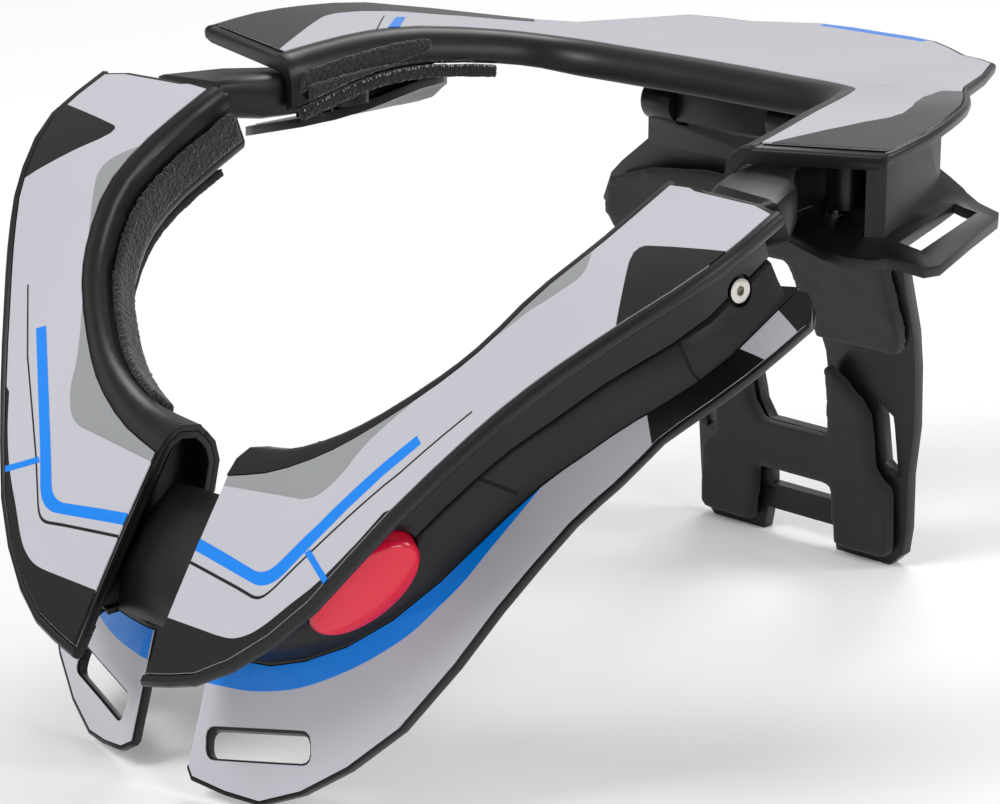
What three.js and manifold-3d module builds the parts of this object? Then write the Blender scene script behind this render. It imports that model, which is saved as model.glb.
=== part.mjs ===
// Motocross neck brace: two hinged front arms, a rear table with side housings
// and a hinged back strut. Millimetres, +Z up, +X the wearer's left, -Y the chest.
import * as THREE from 'three';
import Module from 'manifold-3d';
import { mergeVertices } from 'three/addons/utils/BufferGeometryUtils.js';

const wasm = await Module();
wasm.setup();

// Overall sizes that the share tables below multiply.
const HALF_WIDTH = 155;
const BRACE_LENGTH = 384;
const TABLE_HEIGHT = 205;
const ARM_REACH = 150;
const ARM_HEIGHT = 190;

// Arm shells.
const ARM_RINGS = 18;
const ARM_PLATE = 8;
const ARM_FLANGE = 4.5;
const ARM_RIM_LIP = 2;
const ARM_BOX_DEPTH = 28;
const ARM_WALL_LEAN = 0.3;
const ARM_CROWN = 0.6;
const SHELL_GAP = 0.3;
const GROOVE_BEVEL = 1.2;
const WALL_HOLLOW = 1.6;
const LOWER_PLATE = 4;
const LOWER_FRONT_CUT = 12.8;
const FRONT_CUT = 16.4;
const FRONT_SPARE = 4;

// Printed skins on the plates.
const SKIN = 0.5;
const SKIN_GAP = 0.35;
const SKIN_INSET = 1.6;

// Soft strips.
const LOOP_THICK = 2.4;
const LOOP_TOP = 9;
const LOOP_BOTTOM = 25;
const BODY_PAD_THICK = 3.2;
const BODY_PAD_WIDTH = 9;

// Latch at the chest.
const LATCH_ENGAGE = 1.2;
const NOSE_LENGTH = 6.5;
const FRAME_DEPTH = 7;
const FRAME_WALL = 4.4;
const FRAME_SKIN = 2;
const TONGUE_ROOT = 9;

// Release button.
const BUTTON_PLACE = 0.283;
const BUTTON_DROP = 0.565;
const BUTTON_LENGTH = 41;
const BUTTON_HEIGHT = 24;
const BUTTON_BODY = 7;
const BUTTON_DOME = 3.2;
const BUTTON_GAP = 0.5;
const BUTTON_TRAVEL = 3;

// Clamp screws, connectors and arm pivots.
const SCREW_HEAD = 3.8;
const SCREW_HEAD_LENGTH = 2.6;
const SCREW_SHANK = 1.9;
const SCREW_LENGTH = 12;
const HEX_SOCKET = 1.6;
const CONNECTOR_WIDTH = 19;
const CONNECTOR_HEIGHT = 15.5;
const CONNECTOR_GRIP = 26;
const CONNECTOR_INSET = 16;
const FLARE_WIDTH = 31;
const FLARE_SHIFT = 4.5;
const FLARE_RISE = 2;
const CONNECTOR_DEPTH = 15.5;
const PIVOT = [115, 212];
const HINGE_BLOCK = [21, 17];
const PIN_RADIUS = 2.6;
const RUNNING_GAP = 0.3;

// Rear table and housings.
const TABLE_RINGS = 18;
const TABLE_THICK = 5;
const TABLE_FRONT = 4;
const TABLE_ROLL = 9;
const TABLE_RIM = 1.5;
const SKIRT_THICK = 3.4;
const BASE_THICK = 3.4;
const STRIP_THICK = 4.5;
const STRIP_WIDTH = 3.6;
const BASE_HEIGHT = 174;
const BASE_CURL = 6;
const BASE_TILT = 14.5;
const WALL_THICK = 3.2;

// Back strut.
const HINGE_Y = 297;
const HINGE_Z = 175;
const HINGE_RADIUS = 7.5;
const HINGE_HALF = 36;
const KNUCKLE_HALF = 22;
const KNUCKLE_GAP = 0.5;
const STRUT_THICK = 5;
const STRUT_PAD = 6;
const STRUT_HALF_WIDTH = 70.5;

// Arm rails, front to rear, as shares of half width, reach and height.
const INNER_RAIL = [
  [0.107, 0.273, 0.544],
  [0.224, 0.287, 0.570],
  [0.339, 0.321, 0.615],
  [0.424, 0.368, 0.664],
  [0.532, 0.447, 0.742],
  [0.587, 0.512, 0.797],
  [0.635, 0.611, 0.872],
  [0.666, 0.755, 0.935],
  [0.677, 0.973, 1.013],
];
const OUTER_RAIL = [
  [0.103, 0.027, 0.242],
  [0.258, 0.047, 0.276],
  [0.432, 0.122, 0.384],
  [0.574, 0.240, 0.553],
  [0.700, 0.362, 0.694],
  [0.785, 0.447, 0.777],
  [0.881, 0.556, 0.858],
  [0.972, 0.721, 0.943],
  [0.990, 0.917, 1.013],
];
// Per station: wall inset from the outer edge at its top and foot, foot depth,
// lower rim reach past the outer edge, lower rim depth, split depth outside and inside,
// and how far the rolled neck side stands in from the inner rail.
const WALL_TOP_INSET = [3, 8, 13, 16, 16, 16, 16, 14, 13];
const WALL_FOOT_INSET = [17, 13, 9, 12, 13, 13, 13, 13, 14];
const WALL_FOOT_DEPTH = [25, 28, 34, 42, 40, 39, 39, 36, 33];
const RIM_REACH = [23.5, 28.8, 26.5, 11, 2.5, -0.5, -4, -4, -3];
const RIM_DEPTH = [36, 45, 47, 49.5, 49, 48.5, 46, 42, 42];
const SPLIT_OUTSIDE = [15, 16, 20, 27, 27, 27, 26.5, 24.5, 22];
const SPLIT_INSIDE = [16, 17, 18, 19, 19, 19, 19, 19, 19];
const INNER_REACH = [13, 9.5, 6.5, 4.5, 4, 4, 4, 4, 4];
// Rear edge of the top plate, inner corner to outer corner.
const REAR_EDGE = [-2, -0.8, -3.2, -2.7, -0.6, -2.2];
// Rear end of the lower plate past the box, root to rim.
const PLATE_END = [0, 3.5, 6.8, 5.6, 1.5, -3];
// Depth of the table's skirt, wing front to middle.
const SKIRT_DEPTH = [18.5, 16.3, 13.4, 12, 11.5, 11.5, 12, 12, 12, 12];

// Table rails, wing front to middle, as shares of half width, length and height.
const TABLE_INNER = [
  [0.697, 0.471, 0.967],
  [0.684, 0.510, 0.976],
  [0.658, 0.560, 0.985],
  [0.617, 0.612, 0.985],
  [0.523, 0.682, 0.971],
  [0.452, 0.719, 0.959],
  [0.355, 0.737, 0.953],
  [0.258, 0.742, 0.951],
  [0.129, 0.744, 0.951],
  [0.000, 0.745, 0.951],
];
const TABLE_OUTER = [
  [0.994, 0.490, 0.983],
  [0.984, 0.539, 0.993],
  [0.948, 0.589, 0.998],
  [0.884, 0.646, 0.996],
  [0.697, 0.755, 0.963],
  [0.581, 0.820, 0.946],
  [0.458, 0.930, 0.945],
  [0.323, 0.960, 0.938],
  [0.174, 0.996, 0.939],
  [0.000, 1.000, 0.939],
];

// Strut outline, top to foot: half width share, distance back of the hinge, height.
const STRUT_PROFILE = [
  [0.51, -1, 164],
  [0.53, -1, 160],
  [0.77, 3, 148],
  [0.88, 6, 142],
  [1.00, 11, 130],
  [0.965, 17, 119],
  [0.905, 29, 97],
  [0.845, 36.5, 82],
  [0.785, 43, 57],
  [0.72, 46.5, 37],
  [0.71, 47.7, 16],
  [0.69, 47.7, 6],
  [0.61, 47.7, 0.8],
];

const V = (x, y, z) => new THREE.Vector3(x, y, z);
const UP = V(0, 0, 1);

// Small geometry helpers.

function railCurve(shares, sizes) {
  const points = shares.map((s) => V(s[0] * sizes[0], s[1] * sizes[1], s[2] * sizes[2]));
  return new THREE.CatmullRomCurve3(points);
}

function column(values) {
  const curve = new THREE.CatmullRomCurve3(values.map((v, i) => V(i, v, 0)));
  return (t) => curve.getPoint(Math.min(Math.max(t, 0), 1)).y;
}

function smooth(from, to, value) {
  return THREE.MathUtils.smoothstep(value, from, to);
}

// Closed solid through rings of equal length, capped flat at both ends.
function loft(rings, outline) {
  const count = rings[0].length;
  const positions = rings.flat().flatMap((p) => [p.x, p.y, p.z]);
  const index = [];
  for (let r = 0; r + 1 < rings.length; r += 1) {
    for (let k = 0; k < count; k += 1) {
      const next = (k + 1) % count;
      const a = r * count + k;
      const b = r * count + next;
      // Both faces of a thin wall are split along the same diagonal.
      if (outline[next][0] >= outline[k][0]) {
        index.push(a, b, b + count, a, b + count, a + count);
      } else {
        index.push(a, b, a + count, b, b + count, a + count);
      }
    }
  }
  const contour = outline.map((p) => new THREE.Vector2(p[0], p[1]));
  const turned = THREE.ShapeUtils.area(contour) < 0;
  const last = (rings.length - 1) * count;
  for (const [a, b, c] of THREE.ShapeUtils.triangulateShape(contour, [])) {
    const [d, e] = turned ? [c, b] : [b, c];
    index.push(a, e, d, last + a, last + d, last + e);
  }
  const geometry = new THREE.BufferGeometry();
  geometry.setAttribute('position', new THREE.Float32BufferAttribute(positions, 3));
  geometry.setIndex(index);
  return faceOutward(geometry);
}

function signedVolume(geometry) {
  const p = geometry.attributes.position;
  const index = geometry.index.array;
  const a = V();
  const b = V();
  const c = V();
  let sum = 0;
  for (let i = 0; i < index.length; i += 3) {
    a.fromBufferAttribute(p, index[i]);
    b.fromBufferAttribute(p, index[i + 1]);
    c.fromBufferAttribute(p, index[i + 2]);
    sum += a.dot(b.cross(c));
  }
  return sum / 6;
}

function flipFaces(geometry) {
  const index = geometry.index.array;
  for (let i = 0; i < index.length; i += 3) {
    [index[i + 1], index[i + 2]] = [index[i + 2], index[i + 1]];
  }
  return geometry;
}

function faceOutward(geometry) {
  return signedVolume(geometry) < 0 ? flipFaces(geometry) : geometry;
}

function toSolid(geometry) {
  const bare = geometry.clone();
  bare.deleteAttribute('normal');
  bare.deleteAttribute('uv');
  const merged = faceOutward(mergeVertices(bare, 1e-4));
  const mesh = new wasm.Mesh({
    numProp: 3,
    vertProperties: new Float32Array(merged.attributes.position.array),
    triVerts: new Uint32Array(merged.index.array),
  });
  return new wasm.Manifold(mesh);
}

function toGeometry(solid) {
  const mesh = solid.getMesh();
  const geometry = new THREE.BufferGeometry();
  geometry.setAttribute('position', new THREE.Float32BufferAttribute(mesh.vertProperties, 3));
  geometry.setIndex(Array.from(mesh.triVerts));
  return geometry;
}

function joined(parts) {
  return parts.map(toSolid).reduce((whole, part) => whole.add(part));
}

// What is left of a solid after the cutters, as its largest single body.
function without(solid, cutters) {
  const rest = cutters.map(toSolid).reduce((whole, cutter) => whole.subtract(cutter), solid);
  return rest.decompose().reduce((big, body) => (body.volume() > big.volume() ? body : big));
}

function mirrored(geometry) {
  return flipFaces(geometry.clone().scale(-1, 1, 1));
}

function roundedOutline(width, height, radius, steps = 3) {
  const points = [];
  const corners = [[1, 1], [-1, 1], [-1, -1], [1, -1]];
  corners.forEach(([sx, sy], quarter) => {
    for (let i = 0; i <= steps; i += 1) {
      const angle = (quarter + i / steps) * Math.PI / 2;
      const x = sx * (width / 2 - radius) + radius * Math.cos(angle);
      points.push([x, sy * (height / 2 - radius) + radius * Math.sin(angle)]);
    }
  });
  return points;
}

function ovalOutline(length, height, steps = 24) {
  const points = [];
  for (let i = 0; i < steps; i += 1) {
    const angle = i / steps * 2 * Math.PI;
    points.push([length / 2 * Math.cos(angle), height / 2 * Math.sin(angle)]);
  }
  return points;
}

function shapeOf(points) {
  return new THREE.Shape(points.map((p) => new THREE.Vector2(p[0], p[1])));
}

function prism(points, depth) {
  const options = { depth, bevelEnabled: false, curveSegments: 8 };
  return new THREE.ExtrudeGeometry(shapeOf(points), options);
}

// Prism whose outline lies in XZ and which runs along +Y from the given y.
function prismAlongY(points, from, depth) {
  return prism(points, depth).rotateX(Math.PI / 2).translate(0, from + depth, 0);
}

function rod(radius, from, to, segments = 20) {
  const axis = to.clone().sub(from);
  const geometry = new THREE.CylinderGeometry(radius, radius, axis.length(), segments);
  geometry.applyQuaternion(new THREE.Quaternion().setFromUnitVectors(V(0, 1, 0), axis.clone().normalize()));
  const middle = from.clone().add(to).multiplyScalar(0.5);
  return geometry.translate(middle.x, middle.y, middle.z);
}

// Arm frame: along the arm, across its plate and down through its box.

const armSizes = [HALF_WIDTH, ARM_REACH, ARM_HEIGHT];
const innerRail = railCurve(INNER_RAIL, armSizes);
const outerRail = railCurve(OUTER_RAIL, armSizes);
const wallTopInset = column(WALL_TOP_INSET);
const wallFootInset = column(WALL_FOOT_INSET);
const wallFootDepth = column(WALL_FOOT_DEPTH);
const rimReach = column(RIM_REACH);
const rimDepth = column(RIM_DEPTH);
const splitOutside = column(SPLIT_OUTSIDE);
const splitInside = column(SPLIT_INSIDE);
const innerReach = column(INNER_REACH);
const rearEdge = column(REAR_EDGE);
const plateEnd = column(PLATE_END);
const skirtShare = column(SKIRT_DEPTH);

function midRail(t) {
  return innerRail.getPoint(t).add(outerRail.getPoint(t)).multiplyScalar(0.5);
}

function armFrame(t) {
  const inside = Math.min(Math.max(t, 0), 1);
  const edge = innerRail.getPoint(inside);
  const across = outerRail.getPoint(inside).sub(edge);
  const width = across.length();
  across.normalize();
  const step = 0.03;
  const along = midRail(Math.min(inside + step, 1)).sub(midRail(Math.max(inside - step, 0)));
  along.addScaledVector(across, -along.dot(across)).normalize();
  const down = V().crossVectors(along, across);
  return { edge, across, along, down, width };
}

// Point at depth b under the plate's face and distance a across it.
function armPoint(t, a, b, shift = 0) {
  const f = armFrame(t);
  return f.edge.clone().addScaledVector(f.across, a).addScaledVector(f.down, b)
    .addScaledVector(f.along, shift);
}

function armLoft(outlineAt, from, to, rings, shiftAt = () => 0) {
  const section = (t, extra) => outlineAt(t)
    .map(([a, b]) => armPoint(t, a, b, shiftAt(t, a) + extra));
  const sections = from === 0 ? [section(-0.01, -FRONT_SPARE)] : [];
  for (let i = 0; i <= rings; i += 1) {
    sections.push(section(from + (to - from) * i / rings, 0));
  }
  return loft(sections, outlineAt((from + to) / 2));
}

// The plate's rear edge is scooped between its two corners.
function scoop(t, a) {
  return rearEdge(a / armFrame(t).width) * smooth(0.84, 1, t);
}

// Distances across the plate where its skin and its recess have vertices.
function spread(t, inset) {
  const w = armFrame(t).width;
  return [inset, 0.2 * w, 0.4 * w, 0.6 * w, 0.8 * w, w - inset];
}

// Height of the plate's slight crown at a distance across it.
function crown(t, a) {
  return ARM_CROWN * Math.sin(Math.PI * Math.min(Math.max(a / armFrame(t).width, 0), 1));
}

// Where the neck side wall stands at depth b: it leans outward at the rounded front end.
function innerWall(t, b) {
  const reach = innerReach(t);
  const lean = ARM_WALL_LEAN * (reach - 4) / 9;
  return -reach + lean * Math.max(b - reach, 0);
}

// Arm shells.

function topPlateOutline(t) {
  const w = armFrame(t).width;
  const reach = innerReach(t);
  const plate = Math.max(ARM_PLATE, 0.95 * reach + 0.8);
  const root = w - wallTopInset(t) - 8;
  const recess = spread(t, SKIN_INSET - 0.3).reverse();
  return [
    [SKIN_INSET - 0.6, 0],
    [-0.38 * reach, 0.09 * reach],
    [-0.76 * reach, 0.36 * reach],
    [-reach, 0.95 * reach],
    [-reach, plate],
    [root, plate],
    [root + 9, ARM_FLANGE],
    [w + ARM_RIM_LIP - 1.2, ARM_FLANGE],
    [w + ARM_RIM_LIP, ARM_FLANGE - 1.6],
    [w + ARM_RIM_LIP, 1.2],
    [w + ARM_RIM_LIP - 1, 0],
    [w - SKIN_INSET + 0.6, 0],
    ...recess.map((a) => [a, SKIN + SKIN_GAP - crown(t, a)]),
  ];
}

function upperBoxOutline(t) {
  const w = armFrame(t).width;
  const top = w - wallTopInset(t);
  const foot = w - wallFootInset(t);
  const share = splitOutside(t) / wallFootDepth(t);
  const wall = top + (foot - top) * share - WALL_HOLLOW;
  const reach = innerReach(t);
  return [
    [-reach, 0.95 * reach],
    [innerWall(t, splitInside(t)), splitInside(t) - SHELL_GAP / 2],
    [wall - 6, splitOutside(t) - SHELL_GAP / 2],
    [wall - GROOVE_BEVEL, splitOutside(t) - SHELL_GAP / 2],
    [wall, splitOutside(t) - GROOVE_BEVEL],
    [top - WALL_HOLLOW * 0.6, splitOutside(t) * 0.55],
    [top, ARM_FLANGE - 0.5],
    [top * 0.5, ARM_FLANGE - 2],
  ];
}

function lowerBoxOutline(t) {
  const w = armFrame(t).width;
  const top = w - wallTopInset(t);
  const foot = w - wallFootInset(t);
  const depth = wallFootDepth(t);
  const share = splitOutside(t) / depth;
  const wall = top + (foot - top) * share - WALL_HOLLOW;
  const round = (innerReach(t) - 4) / 9;
  const low = ARM_BOX_DEPTH - 4 - 2.7 * round;
  return [
    [innerWall(t, splitInside(t)), splitInside(t) + SHELL_GAP / 2],
    [wall - 6, splitOutside(t) + SHELL_GAP / 2],
    [wall - GROOVE_BEVEL, splitOutside(t) + SHELL_GAP / 2],
    [wall, splitOutside(t) + GROOVE_BEVEL],
    [foot - WALL_HOLLOW * 0.5, depth - 4],
    [foot, depth],
    [foot, depth + LOWER_PLATE * 0.6],
    [foot - 3, depth + LOWER_PLATE],
    [3.7 * round, ARM_BOX_DEPTH + 1.5 * round],
    [-2.8 - 3 * round, ARM_BOX_DEPTH - 1.4 - 0.4 * round],
    [innerWall(t, low), low],
  ];
}

// Root, rim and direction of the lower plate's section.
function lowerRun(t) {
  const w = armFrame(t).width;
  const root = new THREE.Vector2(w - wallFootInset(t) - 5, wallFootDepth(t) - 0.8);
  const rim = new THREE.Vector2(w + rimReach(t) - (t < 0 ? 3 : 0), rimDepth(t));
  const run = rim.clone().sub(root);
  const length = run.length();
  return { root, rim, run: run.normalize(), length };
}

// Points along the section at equal shares between two distances, at one depth.
function alongRun(t, from, to, depth) {
  const { root, run } = lowerRun(t);
  const under = new THREE.Vector2(-run.y, run.x).multiplyScalar(depth);
  return [0, 0.25, 0.5, 0.75, 1].map((share) => {
    const p = root.clone().addScaledVector(run, from + (to - from) * share).add(under);
    return [p.x, p.y];
  });
}

function lowerPlateOutline(t) {
  const { root, rim, run, length } = lowerRun(t);
  const under = new THREE.Vector2(-run.y, run.x).multiplyScalar(LOWER_PLATE);
  const at = (distance, depth) => {
    const p = root.clone().addScaledVector(run, distance).addScaledVector(under, depth);
    return [p.x, p.y];
  };
  return [
    at(0, 0),
    at(6, 0),
    ...alongRun(t, 6, length - 1.4, SKIN + SKIN_GAP + 0.1),
    at(length - 1.4, 0),
    [rim.x - run.x * 0.4, rim.y - run.y * 0.4],
    at(length, 0.3),
    at(length, 0.75),
    ...alongRun(t, 6, length - 1.4, LOWER_PLATE).reverse(),
    at(0, 1),
  ];
}

function topSkinOutline(t) {
  const across = spread(t, SKIN_INSET);
  const face = across.map((a) => [a, -crown(t, a)]);
  const under = across.map((a) => [a, SKIN - crown(t, a)]).reverse();
  return [...face, ...under];
}

function lowerSkinOutline(t) {
  const { length } = lowerRun(t);
  const under = alongRun(t, 6.4, length - 1.8, SKIN);
  const face = alongRun(t, 6.4, length - 1.8, 0).reverse();
  return [...under, ...face];
}

function loopOutline(t) {
  const face = (b) => innerWall(t, b) - 1.6 * SHELL_GAP;
  return [
    [face(LOOP_TOP), LOOP_TOP],
    [face(LOOP_BOTTOM - 3), LOOP_BOTTOM - 3],
    [face(LOOP_BOTTOM - 4) - LOOP_THICK, LOOP_BOTTOM - 4],
    [face(LOOP_TOP + 1) - LOOP_THICK, LOOP_TOP + 1],
  ];
}

function bodyPadOutline(t) {
  const foot = armFrame(t).width - wallFootInset(t);
  const slope = (wallFootDepth(t) + LOWER_PLATE - ARM_BOX_DEPTH) / (foot - 3);
  const base = ARM_BOX_DEPTH + 2;
  return [
    [0.6, base],
    [0.6, base + BODY_PAD_THICK],
    [0.6 + BODY_PAD_WIDTH, base + slope * BODY_PAD_WIDTH + BODY_PAD_THICK],
    [0.6 + BODY_PAD_WIDTH, base + slope * BODY_PAD_WIDTH],
  ];
}

function wallMiddle(t) {
  const across = armFrame(t).width - wallFootInset(t);
  return armPoint(t, across, wallFootDepth(t) * BUTTON_DROP);
}

// Frame on the outer wall where the button sits: along the arm, up the wall and out of it.
function buttonFrame() {
  const t = BUTTON_PLACE;
  const w = armFrame(t).width;
  const centre = armPoint(t, w - (wallTopInset(t) + wallFootInset(t)) / 2, wallFootDepth(t) * BUTTON_DROP);
  const foot = armPoint(t, w - wallFootInset(t), wallFootDepth(t));
  const head = armPoint(t, w - wallTopInset(t), ARM_FLANGE);
  const length = wallMiddle(t + 0.07).sub(wallMiddle(t - 0.07)).normalize();
  const height = head.clone().sub(foot);
  height.addScaledVector(length, -height.dot(length)).normalize();
  const out = V().crossVectors(height, length);
  if (out.x < 0) out.negate();
  return { centre, length, height, out };
}

function placed(geometry, frame, depth) {
  const basis = new THREE.Matrix4().makeBasis(frame.length, V().crossVectors(frame.out, frame.length), frame.out);
  const origin = frame.centre.clone().addScaledVector(frame.out, depth);
  return geometry.applyMatrix4(basis.setPosition(origin));
}

function buttonPocket() {
  const outline = ovalOutline(BUTTON_LENGTH + 2 * BUTTON_GAP, BUTTON_HEIGHT + 2 * BUTTON_GAP);
  const depth = BUTTON_BODY + BUTTON_TRAVEL + 1;
  return placed(prism(outline, depth + 20), buttonFrame(), -depth);
}

function button() {
  const outline = ovalOutline(BUTTON_LENGTH, BUTTON_HEIGHT);
  const rings = [];
  const levels = [[1, -BUTTON_BODY], [1, 0], [0.94, 0.5 * BUTTON_DOME], [0.74, 0.85 * BUTTON_DOME], [0.4, BUTTON_DOME]];
  for (const [share, z] of levels) {
    rings.push(outline.map(([x, y]) => V(x * share, y * share, z)));
  }
  return placed(loft(rings, outline), buttonFrame(), 0.6);
}

function screwFrame() {
  const t = 0.945;
  const w = armFrame(t).width;
  const face = armPoint(t, w - (wallTopInset(t) + wallFootInset(t)) / 2, splitOutside(t));
  const f = armFrame(t);
  return { centre: face, length: f.along.clone(), out: f.across.clone() };
}

function screwRecess(extra) {
  const f = screwFrame();
  const from = f.centre.clone().addScaledVector(f.out, -SCREW_HEAD_LENGTH - WALL_HOLLOW);
  const to = f.centre.clone().addScaledVector(f.out, 12);
  const head = rod(SCREW_HEAD + extra, from, to, 24);
  const tip = from.clone().addScaledVector(f.out, -SCREW_LENGTH);
  return [head, rod(SCREW_SHANK + RUNNING_GAP, tip, to, 16)];
}

function clampScrew() {
  const f = screwFrame();
  const seat = f.centre.clone().addScaledVector(f.out, -SCREW_HEAD_LENGTH - WALL_HOLLOW + SHELL_GAP);
  const top = seat.clone().addScaledVector(f.out, SCREW_HEAD_LENGTH);
  const tip = seat.clone().addScaledVector(f.out, -SCREW_LENGTH + 1);
  const body = joined([rod(SCREW_HEAD, seat, top, 24), rod(SCREW_SHANK, tip, top, 16)]);
  const floor = top.clone().addScaledVector(f.out, -2.4);
  const socket = rod(HEX_SOCKET, floor, top.clone().addScaledVector(f.out, 1), 6);
  return toGeometry(without(body, [socket]));
}

// Connector between arm and housing.

// Flare of the connector behind the arm: outer and inner side at each distance back.
const FLARE = [[133, 105.5, 170], [126, 104, 178], [119.5, 103, 187], [117.5, 103.8, 198], [117.5, 105.5, 210]];

function connectorMouth() {
  return armPoint(1, CONNECTOR_INSET, CONNECTOR_DEPTH);
}

function hingeMiddle() {
  return connectorMouth().z + 5;
}

function connectorGrip(grow, ahead) {
  const outline = roundedOutline(CONNECTOR_WIDTH + 2 * grow, CONNECTOR_HEIGHT + 2 * grow, 4, 2);
  const f = armFrame(1);
  const mouth = connectorMouth();
  const ring = (along) => outline.map(([x, z]) => mouth.clone().addScaledVector(f.along, along)
    .addScaledVector(f.across, x).addScaledVector(f.down, -z));
  return loft([ring(-CONNECTOR_GRIP - grow), ring(0), ring(ahead)], outline);
}

function connectorFlare() {
  const f = armFrame(1);
  const ring = (width, across, along, rise) => roundedOutline(width, CONNECTOR_HEIGHT, 4, 2)
    .map(([x, z]) => connectorMouth().addScaledVector(f.along, along)
      .addScaledVector(f.across, across + x).addScaledVector(f.down, -z - rise));
  const first = [ring(CONNECTOR_WIDTH, 0, 1, 0), ring(FLARE_WIDTH, FLARE_SHIFT, 8, FLARE_RISE)];
  const rest = FLARE.map(([outer, inner, back]) => roundedOutline(outer - inner, CONNECTOR_HEIGHT, 4, 2)
    .map(([x, z]) => V((outer + inner) / 2 + x, back, hingeMiddle() + z)));
  return loft([...first, ...rest], roundedOutline(20, 15, 4, 2));
}

function pivotHeights() {
  const middle = hingeMiddle();
  return [middle - CONNECTOR_HEIGHT / 2 - 0.6, middle + CONNECTOR_HEIGHT / 2];
}

function connector() {
  const [low, high] = pivotHeights();
  const block = prism(roundedOutline(HINGE_BLOCK[0], HINGE_BLOCK[1], 4, 3), high - low)
    .translate(PIVOT[0], PIVOT[1], low);
  const bore = rod(PIN_RADIUS + RUNNING_GAP, V(...PIVOT, low - 5), V(...PIVOT, high + 9), 20);
  const whole = joined([connectorGrip(0, 5), connectorFlare(), block]);
  return toGeometry(without(whole, [bore, screwRecess(1)[1]]));
}

function connectorPocket() {
  return connectorGrip(0.4, 40);
}

function hingePin() {
  const [low, high] = pivotHeights();
  const from = V(...PIVOT, low - 3.5);
  return rod(PIN_RADIUS, from, V(...PIVOT, high + 2.2), 20);
}

// Latch.

const FRONT_SHAPE = [
  [0, 0], [-4.9, 1.2], [-9.9, 4.7], [-13, 12.4], [-12.2, 17], [-10.5, 21.5],
  [-5.8, 26.2], [3.7, 29.5], [49, 28], [66.5, 0],
];

// The front end's shape moved inward by an even distance.
function frontOutline(inset) {
  const count = FRONT_SHAPE.length;
  const corner = (i) => new THREE.Vector2(...FRONT_SHAPE[(i + count) % count]);
  return FRONT_SHAPE.map((point, i) => {
    const before = corner(i).sub(corner(i - 1)).normalize();
    const after = corner(i + 1).sub(corner(i)).normalize();
    const inward = new THREE.Vector2(before.y + after.y, -before.x - after.x).normalize();
    const reach = inset / Math.max(inward.dot(new THREE.Vector2(after.y, -after.x)), 0.4);
    return [point[0] + inward.x * reach, point[1] + inward.y * reach];
  });
}

// Opening between the flange and the lower plate where the tongue swings in.
const MOUTH_SHAPE = [[54, ARM_FLANGE + 0.5], [84, ARM_FLANGE + 0.5], [84, 23], [47, 23], [44, 19]];

function mouthOpening() {
  return acrossMiddle(MOUTH_SHAPE, FRONT_CUT - 6, FRONT_CUT + FRAME_DEPTH + 2);
}

function acrossMiddle(outline, from, to) {
  const f = armFrame(0);
  const ring = (x) => outline.map(([a, b]) => {
    const p = f.edge.clone().addScaledVector(f.across, a).addScaledVector(f.down, b);
    return V(x, p.y, p.z);
  });
  return loft([ring(from), ring(to)], outline);
}

function tongueOutline(top, shrink) {
  return [
    [6 + shrink, 15],
    [9 + shrink, top + 5.0],
    [16 + shrink, top + 2.2],
    [26, top + 0.5],
    [36, top],
    [45 - shrink, top + 1.8],
    [51 - shrink, top + 5.5],
    [47.5 - shrink, 21],
    [9 + shrink, 21],
  ];
}

function latchTongue() {
  const root = FRONT_CUT + TONGUE_ROOT;
  const block = acrossMiddle(tongueOutline(6.4, 0), -FRONT_CUT - LATCH_ENGAGE + 0.4, root);
  const f = armFrame(0);
  const ring = (x, outline) => outline.map(([a, b]) => {
    const p = f.edge.clone().addScaledVector(f.across, a).addScaledVector(f.down, b);
    return V(x, p.y, p.z);
  });
  const nose = loft([
    ring(-FRONT_CUT, tongueOutline(6.6, 0.2)),
    ring(-FRONT_CUT - LATCH_ENGAGE, tongueOutline(7.4, 1)),
    ring(-FRONT_CUT - NOSE_LENGTH, tongueOutline(12.2, 8)),
  ], tongueOutline(7.4, 1));
  return toGeometry(joined([block, nose]));
}

// Room in the left shells for the root of the tongue.
function tongueRoom() {
  const outline = tongueOutline(6.4 - SHELL_GAP, -SHELL_GAP)
    .map(([a, b]) => [a, b === 21 ? b + SHELL_GAP : b]);
  return acrossMiddle(outline, FRONT_CUT - 5, FRONT_CUT + TONGUE_ROOT + SHELL_GAP);
}

function latchFrame() {
  const outer = acrossMiddle(frontOutline(FRAME_SKIN + SHELL_GAP), FRONT_CUT, FRONT_CUT + FRAME_DEPTH);
  const hole = acrossMiddle(frontOutline(FRAME_WALL), FRONT_CUT - 2, FRONT_CUT + FRAME_DEPTH + 2);
  return mirrored(toGeometry(without(toSolid(outer), [hole, mouthOpening()])));
}

// Room in the right shells for the frame and for the tongue's nose behind it.
function socketRoom() {
  const mouth = acrossMiddle(frontOutline(FRAME_SKIN), FRONT_CUT - 2, FRONT_CUT + FRAME_DEPTH + SHELL_GAP);
  const rest = acrossMiddle(frontOutline(FRAME_WALL), FRONT_CUT, FRONT_CUT + NOSE_LENGTH + 5);
  return [mouth, rest, mouthOpening()];
}

// Shells put together.

function frontTrim(plane) {
  const size = 400;
  return new THREE.BoxGeometry(size, size * 2, size * 2).translate(plane - size / 2, 0, 0);
}

function upperShell(side) {
  const plate = armLoft(topPlateOutline, 0, 1, ARM_RINGS, scoop);
  const box = armLoft(upperBoxOutline, 0, 1, ARM_RINGS);
  const cutters = [frontTrim(FRONT_CUT), connectorPocket(), ...screwRecess(1.3)];
  cutters.push(...(side === 'left' ? [buttonPocket(), tongueRoom()] : socketRoom()));
  return without(joined([plate, box]), cutters);
}

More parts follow.
